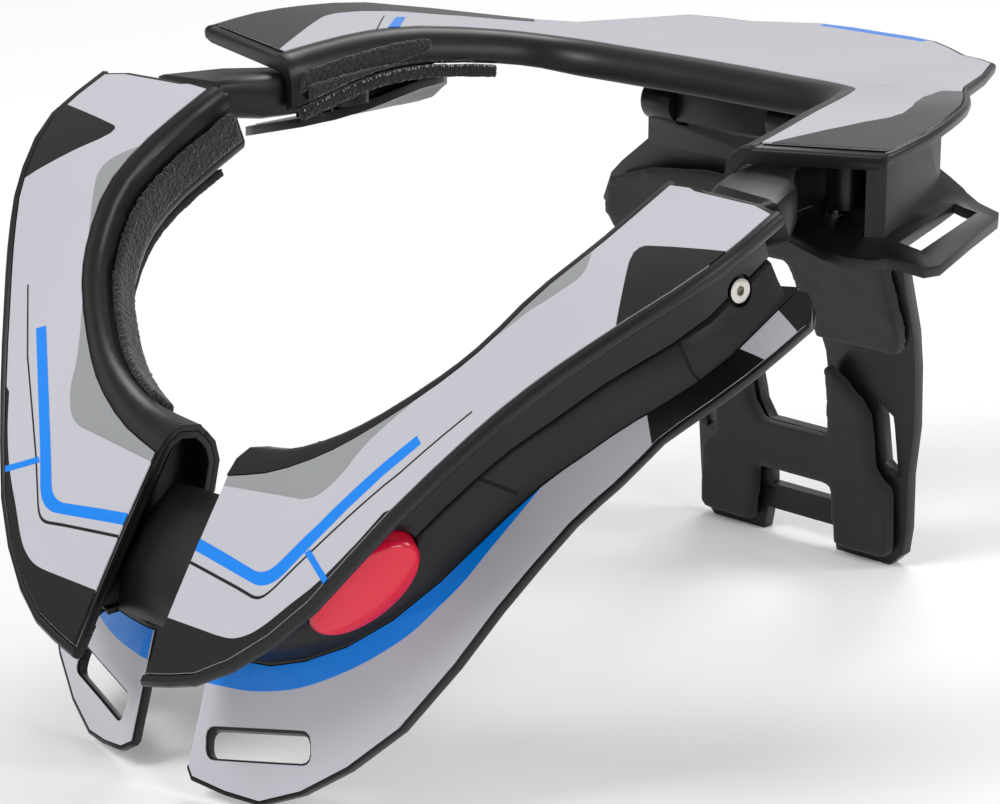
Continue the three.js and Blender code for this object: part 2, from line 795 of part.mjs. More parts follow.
function lowerShell(side) {
  const plate = armLoft(lowerPlateOutline, 0, 1, ARM_RINGS, tail);
  const body = without(toSolid(armLoft(lowerBoxOutline, 0, 1, ARM_RINGS)), [frontTrim(FRONT_CUT)]);
  const chest = without(toSolid(plate), [frontTrim(LOWER_FRONT_CUT)]);
  const cutters = [connectorPocket(), ...screwRecess(1.3), strapSlot(0)];
  cutters.push(...(side === 'left' ? [buttonPocket(), tongueRoom()] : socketRoom()));
  return without(chest.add(body), cutters);
}

// The lower plate's rear end, from its root to its outer rim.
function tail(t, a) {
  const w = armFrame(t).width;
  const root = w - wallFootInset(t) - 5;
  return plateEnd((a - root) / (w + rimReach(t) - root)) * smooth(0.9, 1, t);
}

// Slot for the chest strap near the front tip, square to the lower plate.
function strapSlot(grow) {
  const inner = V(20.5, 24.5, 20.5);
  const outer = V(55.5, 34.5, 26);
  const middle = inner.clone().add(outer).multiplyScalar(0.5);
  const length = outer.clone().sub(inner);
  const span = length.length();
  length.normalize();
  const f = armFrame(0.1);
  const out = f.down.clone().negate();
  out.addScaledVector(length, -out.dot(length)).normalize();
  const frame = { centre: middle, length, out };
  const outline = roundedOutline(span + 2 * grow, 8.5 + 2 * grow, 3, 3);
  return placed(prism(outline, 60), frame, -30);
}

// Rear table.

const tableSizes = [HALF_WIDTH, BRACE_LENGTH, TABLE_HEIGHT];

function fullRail(shares) {
  const half = shares.map((s) => V(s[0] * tableSizes[0], s[1] * tableSizes[1], s[2] * tableSizes[2]));
  const other = half.slice(0, -1).reverse().map((p) => V(-p.x, p.y, p.z));
  return new THREE.CatmullRomCurve3([...half, ...other]);
}

const tableInner = fullRail(TABLE_INNER);
const tableOuter = fullRail(TABLE_OUTER);

function tableFrame(t) {
  const edge = tableInner.getPoint(t);
  const across = tableOuter.getPoint(t).sub(edge);
  const width = across.length();
  return { edge, across: across.normalize(), width };
}

function tablePoint(t, a, b) {
  const f = tableFrame(t);
  return f.edge.clone().addScaledVector(f.across, a).add(V(0, 0, -b));
}

function skirtDepth(t) {
  const half = Math.abs(t - 0.5) * 2;
  return skirtShare(1 - half);
}

function tableOutline(t) {
  const w = tableFrame(t).width;
  const depth = skirtDepth(t);
  return [
    [0.6, 0],
    [-0.4 * TABLE_ROLL, 0.08 * TABLE_ROLL],
    [-0.74 * TABLE_ROLL, 0.32 * TABLE_ROLL],
    [-0.94 * TABLE_ROLL, 0.66 * TABLE_ROLL],
    [-TABLE_ROLL, TABLE_ROLL],
    [-TABLE_ROLL, depth - 1],
    [-TABLE_ROLL + 1, depth],
    [-TABLE_ROLL + SKIRT_THICK, depth],
    [-TABLE_ROLL + SKIRT_THICK, TABLE_ROLL],
    [-0.25 * TABLE_ROLL, TABLE_THICK + 0.6],
    [w - 3, TABLE_THICK],
    [w + TABLE_RIM - 0.4, TABLE_THICK - 1.2],
    [w + TABLE_RIM, 1.4],
    [w + TABLE_RIM - 0.8, 0.2],
    [w - 0.6, 0],
    [w - 0.9, SKIN + SKIN_GAP],
    [0.9, SKIN + SKIN_GAP],
  ];
}

function tableLoft(outlineAt, from, to, rings, front = []) {
  const section = (t, ahead, lower) => outlineAt(t)
    .map(([a, b]) => tablePoint(t, a, b + lower).add(V(0, -ahead, 0)));
  const sections = front.map(([ahead, lower]) => section(from, ahead, lower));
  for (let i = 0; i <= rings; i += 1) {
    sections.push(section(from + (to - from) * i / rings, 0, 0));
  }
  front.slice().reverse().forEach(([ahead, lower]) => sections.push(section(to, ahead, lower)));
  return loft(sections, outlineAt((from + to) / 2));
}

function tableSkinOutline(t) {
  const w = tableFrame(t).width;
  return [[1.2, 0], [w - 1.2, 0], [w - 1.2, SKIN], [1.2, SKIN]];
}

// Everything above the underside of the table, with clearance.
function aboveTable() {
  const outline = (t) => {
    const w = tableFrame(t).width;
    return [
      [-TABLE_ROLL - 8, -30],
      [-TABLE_ROLL - 8, skirtDepth(t) + SHELL_GAP],
      [-TABLE_ROLL + SKIRT_THICK + SHELL_GAP, skirtDepth(t) + SHELL_GAP],
      [-TABLE_ROLL + SKIRT_THICK + SHELL_GAP, TABLE_ROLL],
      [-0.25 * TABLE_ROLL, TABLE_THICK + 0.6 + SHELL_GAP],
      [w - 3, TABLE_THICK + SHELL_GAP],
      [w + 6, TABLE_THICK + SHELL_GAP],
      [w + 6, -30],
    ];
  };
  return tableLoft(outline, 0, 1, TABLE_RINGS * 2, [[12, 0]]);
}

function innerStrip(from, to, top, bottom, thick) {
  const outline = (t) => {
    const face = -TABLE_ROLL - 1.5 * SHELL_GAP;
    const low = Math.min(bottom, skirtDepth(t) - 1.2);
    return [[face, top], [face, low], [face - thick, low - 1], [face - thick, top + 1]];
  };
  return tableLoft(outline, from, to, 8);
}

// Housing under each wing.

function baseHeight(x, y) {
  const plane = BASE_HEIGHT - Math.tan(BASE_TILT * Math.PI / 180) * (x - 106);
  return plane + BASE_CURL * (1 - smooth(110, 128, x)) * smooth(205, 262, y);
}

// Everything under the base's top face, moved down by a drop.
function underBase(drop) {
  const columns = [80, 106, 112, 118, 124, 130, 190];
  const outline = [...columns.map((x) => [x, 1]), ...columns.map((x) => [x, 0]).reverse()];
  const ring = (y) => outline.map(([x, top]) => V(x, y, top ? baseHeight(x, y) - drop : 90));
  return loft([160, 205, 220, 235, 250, 262, 330].map(ring), outline);
}

const BASE_PLAN = [
  [104, 184.2], [118, 184.9], [130.3, 185.1], [138, 187.8], [143.3, 193.5], [144.6, 201], [148.6, 204.3],
  [154, 207], [155, 214], [147.3, 240], [140.6, 264.5], [138, 268.6], [130.4, 268.4],
  [122.6, 270], [114, 268], [110, 262], [109, 240], [109, 200],
];
const WALL_PLAN = [[131, 206.4], [134, 213], [118, 263], [114.6, 261.5], [130, 213.5], [128, 210]];
const TAB_SLOT = [[138.4, 214.8], [145.4, 216.8], [134.8, 261], [127.4, 258.8]];

// Soft strip under the skirt of one wing.
function padStrip() {
  const outline = (t) => {
    const top = skirtDepth(t) + 1.5 * SHELL_GAP;
    const inner = -TABLE_ROLL - 0.8;
    const outer = inner + STRIP_WIDTH;
    return [[inner, top], [outer, top], [outer, top + STRIP_THICK], [inner, top + STRIP_THICK]];
  };
  return tableLoft(outline, 0.004, 0.22, 8);
}

function housing() {
  const sheet = toSolid(prism(BASE_PLAN, 90).translate(0, 0, 110));
  const base = sheet.intersect(toSolid(underBase(0))).subtract(toSolid(underBase(BASE_THICK)));
  const walls = prism(WALL_PLAN, 60).translate(0, 0, 150);
  const below = underBase(1);
  const slot = prism(TAB_SLOT, 60).translate(0, 0, 130);
  const bore = rod(PIN_RADIUS + SHELL_GAP, V(...PIVOT, 140), V(...PIVOT, 200), 20);
  const wall = without(toSolid(walls), [below, aboveTable()]);
  return toGeometry(without(base.add(wall), [slot, bore, aboveTable()]));
}

const TABLE_NOSE = [[TABLE_FRONT, 0.8], [TABLE_FRONT * 0.7, 0.15]];

function tablePinBores() {
  const top = pivotHeights()[1] + 2.6;
  return [1, -1].map((side) => {
    const foot = V(side * PIVOT[0], PIVOT[1], 150);
    return rod(PIN_RADIUS + SHELL_GAP, foot, foot.clone().setZ(top), 20);
  });
}

function bracket() {
  const block = new THREE.BoxGeometry(2 * KNUCKLE_HALF, 12, 30).translate(0, HINGE_Y + 2, HINGE_Z + 9);
  const leaf = new THREE.BoxGeometry(2 * KNUCKLE_HALF, 24, 12).translate(0, HINGE_Y + 16, HINGE_Z + 16);
  const bore = rod(PIN_RADIUS + RUNNING_GAP, V(-60, HINGE_Y, HINGE_Z), V(60, HINGE_Y, HINGE_Z), 20);
  return toGeometry(without(joined([block, leaf]), [bore, aboveTable()]));
}

// Back strut.

function slab(rows, front, thick) {
  const sections = rows.map(([half, y, z], i) => {
    const a = rows[Math.max(i - 1, 0)];
    const b = rows[Math.min(i + 1, rows.length - 1)];
    const run = V(0, b[1] - a[1], b[2] - a[2]).normalize();
    const back = V(0, -run.z, run.y);
    const near = V(0, HINGE_Y + y, z).addScaledVector(back, -front);
    const far = near.clone().addScaledVector(back, -thick);
    return [
      V(-half, near.y, near.z), V(half, near.y, near.z),
      V(half, far.y, far.z), V(-half, far.y, far.z),
    ];
  });
  return loft(sections, [[-1, 0], [1, 0], [1, 1], [-1, 1]]);
}

function strutRows(scale, from, to) {
  return STRUT_PROFILE.slice(from, to).map(([share, y, z]) => [share * STRUT_HALF_WIDTH * scale, y, z]);
}

function window(points) {
  return prismAlongY(points, HINGE_Y - 40, 160);
}

const LEG_OPENING = [[-20, 119], [20, 119], [17, 47], [-14, 47], [-17.5, 54]];
const LOWER_WINDOW = [[-14, 27.5], [12, 27.5], [14.5, 24], [14.5, 20], [-14.5, 20], [-14.5, 24]];
const FOOT_NOTCH = [[-16, 10], [16, 10], [19, -6], [-19, -6]];
const LEG_SLOT = [[40.5, 66], [46.5, 61], [46.5, 36], [40.5, 41]];

// Room for the table's knuckle block between the strut's ears.
function blockRoom() {
  const half = KNUCKLE_HALF + KNUCKLE_GAP;
  const low = HINGE_Z - 7.5;
  return new THREE.BoxGeometry(2 * half, 60, 60).translate(0, HINGE_Y, low + 30);
}

function strutPlate() {
  const plate = slab(strutRows(1, 0, STRUT_PROFILE.length), -STRUT_THICK, STRUT_THICK);
  const knuckle = rod(HINGE_RADIUS, V(-HINGE_HALF, HINGE_Y, HINGE_Z), V(HINGE_HALF, HINGE_Y, HINGE_Z), 24);
  const neck = new THREE.BoxGeometry(2 * HINGE_HALF, 7, 14).translate(0, HINGE_Y + 0.5, HINGE_Z - 9.5);
  const bore = rod(PIN_RADIUS + RUNNING_GAP, V(-60, HINGE_Y, HINGE_Z), V(60, HINGE_Y, HINGE_Z), 20);
  const slot = LEG_SLOT.map(([x, z]) => [-x, z]).reverse();
  const cutters = [window(LEG_OPENING), window(LOWER_WINDOW), window(FOOT_NOTCH), window(LEG_SLOT), window(slot)];
  return toGeometry(without(joined([plate, knuckle, neck]), [...cutters, blockRoom(), bore]));
}

const UPPER_PAD_OUTLINE = [
  [-58, 142], [-36, 149], [-12, 152], [12, 152], [36, 149], [58, 142], [66, 128], [62, 96],
  [58, 90], [21, 90], [20, 122], [-20, 122], [-21, 90], [-58, 90], [-62, 96], [-66, 128],
];

function upperPad() {
  const pad = toSolid(slab(strutRows(0.97, 1, 8), SHELL_GAP, STRUT_PAD));
  return toGeometry(pad.intersect(toSolid(window(UPPER_PAD_OUTLINE))));
}

const PAD_OUTLINE = [
  [-21, 79], [-36, 64], [-38, 60], [-38, 38], [-45, 31], [-46, 7], [-43, 4.5], [-20, 4.5], [-18, 28],
  [18, 28], [20, 4.5], [43, 4.5], [46, 7], [45, 31], [38, 38], [38, 60], [36, 64], [21, 79],
  [17.6, 47.6], [-14, 47.6], [-18, 54],
];

function lowerPad() {
  const pad = toSolid(slab(strutRows(0.99, 5, STRUT_PROFILE.length), SHELL_GAP, STRUT_PAD));
  return toGeometry(pad.intersect(toSolid(window(PAD_OUTLINE))));
}

function strutPin() {
  return rod(PIN_RADIUS, V(-HINGE_HALF, HINGE_Y, HINGE_Z), V(HINGE_HALF, HINGE_Y, HINGE_Z), 20);
}

// Finishes and assembly.

const FINISH = {
  shell: ['#232326', 0.42, 0],
  skin: ['#c6c6cc', 0.22, 0],
  loop: ['#1b191a', 0.95, 0],
  foam: ['#242020', 0.9, 0],
  button: ['#d01f3a', 0.25, 0],
  steel: ['#b9b7b2', 0.3, 1],
};

const brace = new THREE.Group();
brace.name = 'neck_brace';

function piece(name, geometry, finish) {
  const [color, roughness, metalness] = FINISH[finish];
  const material = new THREE.MeshStandardMaterial({ color, roughness, metalness });
  const plain = mergeVertices(stripped(geometry), 1e-4);
  plain.computeVertexNormals();
  const mesh = new THREE.Mesh(plain, material);
  mesh.name = name;
  brace.add(mesh);
  return mesh;
}

function stripped(geometry) {
  const copy = geometry.clone();
  copy.deleteAttribute('normal');
  copy.deleteAttribute('uv');
  return copy;
}

function pair(name, geometry, finish) {
  piece(`left_${name}`, geometry, finish);
  piece(`right_${name}`, mirrored(geometry.index ? geometry : mergeVertices(stripped(geometry))), finish);
}

function skinned(outlineAt, shiftAt, cutters) {
  const skin = armLoft(outlineAt, 0, 0.992, ARM_RINGS, shiftAt);
  return toGeometry(without(toSolid(skin), cutters));
}

piece('left_upper_shell', toGeometry(upperShell('left')), 'shell');
piece('right_upper_shell', mirrored(toGeometry(upperShell('right'))), 'shell');
piece('left_lower_shell', toGeometry(lowerShell('left')), 'shell');
piece('right_lower_shell', mirrored(toGeometry(lowerShell('right'))), 'shell');
pair('top_decal', skinned(topSkinOutline, scoop, [frontTrim(FRONT_CUT + 0.8)]), 'skin');
pair('lower_decal', skinned(lowerSkinOutline, tail, [frontTrim(LOWER_FRONT_CUT + 1.2), strapSlot(0.8)]), 'skin');
pair('neck_loop', armLoft(loopOutline, 0.15, 0.99, 16), 'loop');
pair('body_pad', armLoft(bodyPadOutline, 0.3, 0.97, 14), 'loop');
piece('latch_tongue', latchTongue(), 'shell');
piece('latch_frame', latchFrame(), 'shell');
piece('release_button', button(), 'button');
pair('clamp_screw', clampScrew(), 'steel');
pair('connector', connector(), 'shell');
pair('hinge_pin', hingePin(), 'steel');
piece('rear_table', toGeometry(without(toSolid(tableLoft(tableOutline, 0, 1, TABLE_RINGS * 2, TABLE_NOSE)), tablePinBores())), 'shell');
piece('table_decal', tableLoft(tableSkinOutline, 0.003, 0.997, TABLE_RINGS * 2), 'skin');
pair('table_loop', innerStrip(0.012, 0.2, TABLE_ROLL + 1, 19, LOOP_THICK), 'loop');
pair('pad_strip', padStrip(), 'loop');
pair('housing', housing(), 'shell');
piece('strut_bracket', bracket(), 'shell');
piece('strut_pin', strutPin(), 'steel');
piece('strut_plate', strutPlate(), 'shell');
piece('strut_upper_pad', upperPad(), 'foam');
piece('strut_lower_pad', lowerPad(), 'foam');

// The origin is the middle of the footprint on the floor.
const bounds = new THREE.Box3().setFromObject(brace);
brace.position.set(0, -(bounds.min.y + bounds.max.y) / 2, -bounds.min.z);

export default brace;
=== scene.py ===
"""Looks of a motocross neck brace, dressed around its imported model.

Metres, +Z up, +X the wearer's left and -Y the chest. Outlines and sizes that are
easier to read in millimetres say so and go through mm().
"""

import logging
import math
import random
from dataclasses import dataclass, field
from enum import Enum
from functools import cache
from typing import Sequence

import bmesh
import bpy
import numpy as np
from mathutils import Matrix, Vector, noise


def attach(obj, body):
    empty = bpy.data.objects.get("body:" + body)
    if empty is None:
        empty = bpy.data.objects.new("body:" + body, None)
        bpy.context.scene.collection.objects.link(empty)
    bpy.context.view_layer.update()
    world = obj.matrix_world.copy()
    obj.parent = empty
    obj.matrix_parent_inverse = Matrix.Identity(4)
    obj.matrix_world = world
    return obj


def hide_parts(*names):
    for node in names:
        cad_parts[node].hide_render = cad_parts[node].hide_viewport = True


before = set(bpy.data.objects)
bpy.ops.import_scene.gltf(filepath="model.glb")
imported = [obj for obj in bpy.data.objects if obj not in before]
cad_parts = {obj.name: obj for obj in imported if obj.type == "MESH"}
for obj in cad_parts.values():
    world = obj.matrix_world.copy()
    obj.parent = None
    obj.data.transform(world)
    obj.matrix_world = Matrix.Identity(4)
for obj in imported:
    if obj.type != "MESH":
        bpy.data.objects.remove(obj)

LOG = logging.getLogger("neck_brace")

Point = Sequence[float]
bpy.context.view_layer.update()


def mm(value: float) -> float:
    """Turns millimetres into metres.

    Args:
        value: Length in millimetres.

    Returns:
        The length in metres.
    """
    return value * 0.001


WELD_GAP = mm(0.002)
SCREW_EDGE = mm(0.25)
SHELL_EDGE = mm(0.4)
TONGUE_EDGE = mm(0.5)
THICK_EDGE = mm(0.8)
PLATE_EDGE = mm(0.9)
PILE_SIZE = mm(1.3)
ALL_SMOOTH = 180.0
CORNER_NORMALS = "custom_normal"


def linear(code: str) -> tuple[float, float, float, float]:
    """Turns an sRGB hex colour into linear RGBA.

    Args:
        code: Colour such as "#c8c8cf".

    Returns:
        The linear colour with an alpha of one.
    """
    parts = [int(code[i:i + 2], 16) / 255 for i in (1, 3, 5)]
    toe, knee, offset, gamma = 12.92, 0.04045, 0.055, 2.4
    rgb = [c / toe if c <= knee else ((c + offset) / (1 + offset)) ** gamma for c in parts]
    return (rgb[0], rgb[1], rgb[2], 1.0)


class Side(Enum):
    """The wearer's two sides, with the sign of X on each."""

    LEFT = 1
    RIGHT = -1

    @property
    def prefix(self) -> str:
        """Returns the start of this side's node names."""
        return "left_" if self is Side.LEFT else "right_"

    @property
    def arm(self) -> str:
        """Returns the body that this side's arm moves with."""
        return self.prefix + "arm"


def add_node(tree: bpy.types.NodeTree, kind: str, settings: dict | None = None,
             inputs: dict | None = None) -> bpy.types.Node:
    """Adds a shader node with its settings, values and links.

    Args:
        tree: Node tree of a material.
        kind: Blender's type name of the node.
        settings: Attributes of the node.
        inputs: Values by socket name or number, or output sockets to link from.

    Returns:
        The new node.
    """
    node = tree.nodes.new(kind)
    for key, value in (settings or {}).items():
        setattr(node, key, value)
    for key, value in (inputs or {}).items():
        if isinstance(value, bpy.types.NodeSocket):
            tree.links.new(value, node.inputs[key])
        else:
            node.inputs[key].default_value = value
    return node


def new_material(name: str) -> tuple[bpy.types.Material, bpy.types.NodeTree, bpy.types.NodeSocket]:
    """Starts an empty material with object coordinates.

    Args:
        name: Name of the material.

    Returns:
        The material, its tree and its coordinate socket, in metres.
    """
    material = bpy.data.materials.new(name)
    material.use_nodes = True
    tree = material.node_tree
    tree.nodes.clear()
    place = add_node(tree, "ShaderNodeTexCoord")
    return material, tree, place.outputs["Object"]


def close_material(tree: bpy.types.NodeTree, shader: bpy.types.Node) -> None:
    """Links a shader to the material's output.

    Args:
        tree: Node tree of the material.
        shader: The shader node.
    """
    add_node(tree, "ShaderNodeOutputMaterial", inputs={"Surface": shader.outputs[0]})


def per_size(size_mm: float) -> float:
    """Turns the size of a pattern into a texture scale.

    Args:
        size_mm: About how far its features are apart, in millimetres.

    Returns:
        The scale, per metre.
    """
    return 1.0 / mm(size_mm)


@dataclass(frozen=True)
class MouldedNylon:
    """Glass-filled nylon, injection moulded with a fine spark-eroded grain.

    The grain spreads the highlight to a soft satin, and slow patches of wear
    change its roughness a little.
    """

    name: str = "moulded_nylon"
    dark: str = "#0b0b0d"
    light: str = "#131315"
    roughness: float = 0.36
    grain_mm: float = 0.55
    patch_mm: float = 38.0

    def build(self) -> bpy.types.Material:
        """Returns the material."""
        material, tree, place = new_material(self.name)
        patches = add_node(tree, "ShaderNodeTexNoise", inputs={
            "Vector": place, "Scale": per_size(self.patch_mm), "Detail": 4.0})
        colour = add_node(tree, "ShaderNodeMix", {"data_type": "RGBA"}, {
            "Factor": patches.outputs["Fac"]})
        colour.inputs[6].default_value = linear(self.dark)
        colour.inputs[7].default_value = linear(self.light)
        rough = add_node(tree, "ShaderNodeMapRange", inputs={
            "Value": patches.outputs["Fac"], "To Min": self.roughness - 0.07,
            "To Max": self.roughness + 0.08})
        grain = add_node(tree, "ShaderNodeTexNoise", inputs={
            "Vector": place, "Scale": per_size(self.grain_mm), "Detail": 3.0})
        bump = add_node(tree, "ShaderNodeBump", inputs={
            "Height": grain.outputs["Fac"], "Strength": 0.22, "Distance": mm(0.12)})
        shader = add_node(tree, "ShaderNodeBsdfPrincipled", inputs={
            "Base Color": colour.outputs[2], "Roughness": rough.outputs[0],
            "Normal": bump.outputs[0], "IOR": 1.53, "Specular IOR Level": 0.33})
        close_material(tree, shader)
        return material


@dataclass(frozen=True)
class PrintedFilm:
    """Printed vinyl under a clear laminate, rolled onto the plate.

    The laminate gives a smooth gloss with a faint orange peel.
    """

    name: str
    colour: str
    roughness: float = 0.3
    peel_mm: float = 2.2
    tone_mm: float = 60.0

    def build(self) -> bpy.types.Material:
        """Returns the material."""
        material, tree, place = new_material(self.name)
        tone = add_node(tree, "ShaderNodeTexNoise", inputs={
            "Vector": place, "Scale": per_size(self.tone_mm), "Detail": 2.0})
        shade = add_node(tree, "ShaderNodeMapRange", inputs={
            "Value": tone.outputs["Fac"], "To Min": 0.96, "To Max": 1.04})
        colour = add_node(tree, "ShaderNodeHueSaturation", inputs={
            "Color": linear(self.colour), "Value": shade.outputs[0]})
        peel = add_node(tree, "ShaderNodeTexNoise", inputs={
            "Vector": place, "Scale": per_size(self.peel_mm), "Detail": 1.0})
        bump = add_node(tree, "ShaderNodeBump", inputs={
            "Height": peel.outputs["Fac"], "Strength": 0.06, "Distance": mm(0.05)})
        shader = add_node(tree, "ShaderNodeBsdfPrincipled", inputs={
            "Base Color": colour.outputs[0], "Roughness": self.roughness,
            "Normal": bump.outputs[0], "IOR": 1.5, "Specular IOR Level": 0.38, "Coat Weight": 0.1,
            "Coat Roughness": 0.1})
        close_material(tree, shader)
        return material


@dataclass(frozen=True)
class LoopPile:
    """Knitted nylon loop tape: a matt black pile, its loop tips given a lighter colour as a painted
    highlight.
    """

    name: str = "loop_pile"
    dark: str = "#0a0a0a"
    painted_glint: str = "#3a3837"
    loop_mm: float = 1.1

    def build(self) -> bpy.types.Material:
        """Returns the material."""
        material, tree, place = new_material(self.name)
        loops = add_node(tree, "ShaderNodeTexVoronoi", inputs={
            "Vector": place, "Scale": per_size(self.loop_mm)})
        fuzz = add_node(tree, "ShaderNodeTexNoise", inputs={
            "Vector": place, "Scale": per_size(self.loop_mm * 0.6), "Detail": 5.0})
        # Lighter colour where the noise is high: painted highlight on the loop tips.
        painted_glint_mask = add_node(tree, "ShaderNodeMapRange", inputs={
            "Value": fuzz.outputs["Fac"], "From Min": 0.5, "From Max": 0.72})
        colour = add_node(tree, "ShaderNodeMix", {"data_type": "RGBA"}, {
            "Factor": painted_glint_mask.outputs[0]})
        colour.inputs[6].default_value = linear(self.dark)
        colour.inputs[7].default_value = linear(self.painted_glint)
        bump = add_node(tree, "ShaderNodeBump", inputs={
            "Height": loops.outputs["Distance"], "Strength": 0.9, "Distance": mm(0.5)})
        shader = add_node(tree, "ShaderNodeBsdfPrincipled", inputs={
            "Base Color": colour.outputs[2], "Roughness": 0.95, "Normal": bump.outputs[0],
            "IOR": 1.53, "Sheen Weight": 0.35, "Sheen Roughness": 0.5})
        close_material(tree, shader)
        return material


@dataclass(frozen=True)
class ClosedCellFoam:
    """Moulded closed-cell foam with a thin skin: soft, dull and faintly pitted."""

    name: str = "closed_cell_foam"
    dark: str = "#15120f"
    light: str = "#24201d"
    cell_mm: float = 1.1
    patch_mm: float = 22.0

    def build(self) -> bpy.types.Material:
        """Returns the material."""
        material, tree, place = new_material(self.name)
        patches = add_node(tree, "ShaderNodeTexNoise", inputs={
            "Vector": place, "Scale": per_size(self.patch_mm), "Detail": 5.0})
        colour = add_node(tree, "ShaderNodeMix", {"data_type": "RGBA"}, {
            "Factor": patches.outputs["Fac"]})
        colour.inputs[6].default_value = linear(self.dark)
        colour.inputs[7].default_value = linear(self.light)
        cells = add_node(tree, "ShaderNodeTexVoronoi", inputs={
            "Vector": place, "Scale": per_size(self.cell_mm)})
        bump = add_node(tree, "ShaderNodeBump", inputs={
            "Height": cells.outputs["Distance"], "Strength": 0.35, "Distance": mm(0.25)})
        shader = add_node(tree, "ShaderNodeBsdfPrincipled", inputs={
            "Base Color": colour.outputs[2], "Roughness": 0.82, "Normal": bump.outputs[0],
            "IOR": 1.45, "Sheen Weight": 0.12})
        close_material(tree, shader)
        return material


@dataclass(frozen=True)
class GlossButtonPlastic:
    """Dyed ABS from a polished mould: a clean gloss over a saturated red."""

    name: str = "gloss_button_plastic"
    colour: str = "#df1338"
    roughness: float = 0.17
    tone_mm: float = 9.0

    def build(self) -> bpy.types.Material:
        """Returns the material."""
        material, tree, place = new_material(self.name)
        tone = add_node(tree, "ShaderNodeTexNoise", inputs={
            "Vector": place, "Scale": per_size(self.tone_mm), "Detail": 3.0})
        rough = add_node(tree, "ShaderNodeMapRange", inputs={
            "Value": tone.outputs["Fac"], "To Min": self.roughness - 0.05,
            "To Max": self.roughness + 0.06})
        shader = add_node(tree, "ShaderNodeBsdfPrincipled", inputs={
            "Base Color": linear(self.colour), "Roughness": rough.outputs[0], "IOR": 1.54})
        close_material(tree, shader)
        return material


@dataclass(frozen=True)
class TurnedStainless:
    """Stainless steel screws and pins, turned and lightly polished."""

    name: str = "turned_stainless"
    colour: str = "#c9c6c0"
    roughness: float = 0.24
    line_mm: float = 0.3

    def build(self) -> bpy.types.Material:
        """Returns the material."""
        material, tree, place = new_material(self.name)
        lines = add_node(tree, "ShaderNodeTexNoise", inputs={
            "Vector": place, "Scale": per_size(self.line_mm), "Detail": 2.0})
        rough = add_node(tree, "ShaderNodeMapRange", inputs={
            "Value": lines.outputs["Fac"], "To Min": self.roughness - 0.06,
            "To Max": self.roughness + 0.1})
        shader = add_node(tree, "ShaderNodeBsdfPrincipled", inputs={
            "Base Color": linear(self.colour), "Metallic": 1.0, "Roughness": rough.outputs[0],
            "IOR": 2.5})
        close_material(tree, shader)
        return material


@dataclass(frozen=True)
class PaperFloor:
    """A roll of pale background paper."""

    name: str = "pale_paper"
    colour: str = "#fafafa"
    fibre_mm: float = 3.0

    def build(self) -> bpy.types.Material:
        """Returns the material."""
        material, tree, place = new_material(self.name)
        fibres = add_node(tree, "ShaderNodeTexNoise", inputs={
            "Vector": place, "Scale": per_size(self.fibre_mm), "Detail": 4.0})
        bump = add_node(tree, "ShaderNodeBump", inputs={
            "Height": fibres.outputs["Fac"], "Strength": 0.02, "Distance": mm(0.1)})
        shader = add_node(tree, "ShaderNodeBsdfPrincipled", inputs={
            "Base Color": linear(self.colour), "Roughness": 0.9, "Normal": bump.outputs[0]})
        close_material(tree, shader)
        return material


@dataclass
class Finishes:
    """Every material of the brace, each built once."""

    shell: bpy.types.Material = field(default_factory=lambda: MouldedNylon().build())
    table_shell: bpy.types.Material = field(
        default_factory=lambda: MouldedNylon(name="moulded_nylon_table").build())
    pale: bpy.types.Material = field(
        default_factory=lambda: PrintedFilm("film_pale", "#bebec6").build())
    blue: bpy.types.Material = field(
        default_factory=lambda: PrintedFilm("film_blue", "#0082ea").build())
    black: bpy.types.Material = field(
        default_factory=lambda: PrintedFilm("film_black", "#0c0b0b", 0.32).build())
    slate: bpy.types.Material = field(
        default_factory=lambda: PrintedFilm("film_slate", "#1d1c20").build())
    grey: bpy.types.Material = field(
        default_factory=lambda: PrintedFilm("film_grey", "#949698").build())
    # Near-black strokes laid in the wall's grooves: painted shade in the grooves.
    seam: bpy.types.Material = field(
        default_factory=lambda: PrintedFilm("groove_shadow", "#010101", 0.9).build())
    hook: bpy.types.Material = field(
        default_factory=lambda: PrintedFilm("clear_nylon_hooks", "#a9a9ab", 0.25).build())
    loop: bpy.types.Material = field(default_factory=lambda: LoopPile().build())
    foam: bpy.types.Material = field(default_factory=lambda: ClosedCellFoam().build())
    button: bpy.types.Material = field(default_factory=lambda: GlossButtonPlastic().build())
    steel: bpy.types.Material = field(default_factory=lambda: TurnedStainless().build())


def dress(piece: bpy.types.Object, material: bpy.types.Material) -> None:
    """Gives a piece one material, in place of any that it has.

    Args:
        piece: The piece.
        material: Its material.
    """
    piece.data.materials.clear()
    piece.data.materials.append(material)


def welded_copy(node: str) -> bmesh.types.BMesh:
    """Reads a CAD node's mesh with its split vertices joined.

    Args:
        node: Name of the node.

    Returns:
        A bmesh, in metres, in the brace's frame.
    """
    form = bmesh.new()
    form.from_mesh(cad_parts[node].data)
    bmesh.ops.remove_doubles(form, verts=form.verts, dist=WELD_GAP)
    return form


def new_piece(name: str, form: bmesh.types.BMesh, material: bpy.types.Material,
              body: str, sharp: float = 40.0) -> bpy.types.Object:
    """Makes a shown piece from a bmesh, which is freed.

    Args:
        name: Name of the piece.
        form: Its mesh.
        material: Its material.
        body: CAD body that it moves with.
        sharp: Angle in degrees over which an edge stays sharp.

    Returns:
        The new object.
    """
    mesh = bpy.data.meshes.new(name)
    form.normal_update()
    form.to_mesh(mesh)
    form.free()
    mesh.shade_smooth()
    mesh.set_sharp_from_angle(angle=math.radians(sharp))
    piece = bpy.data.objects.new(name, mesh)
    bpy.context.scene.collection.objects.link(piece)
    dress(piece, material)
    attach(piece, body)
    LOG.info("%s: %d faces on %s", name, len(mesh.polygons), body)
    return piece


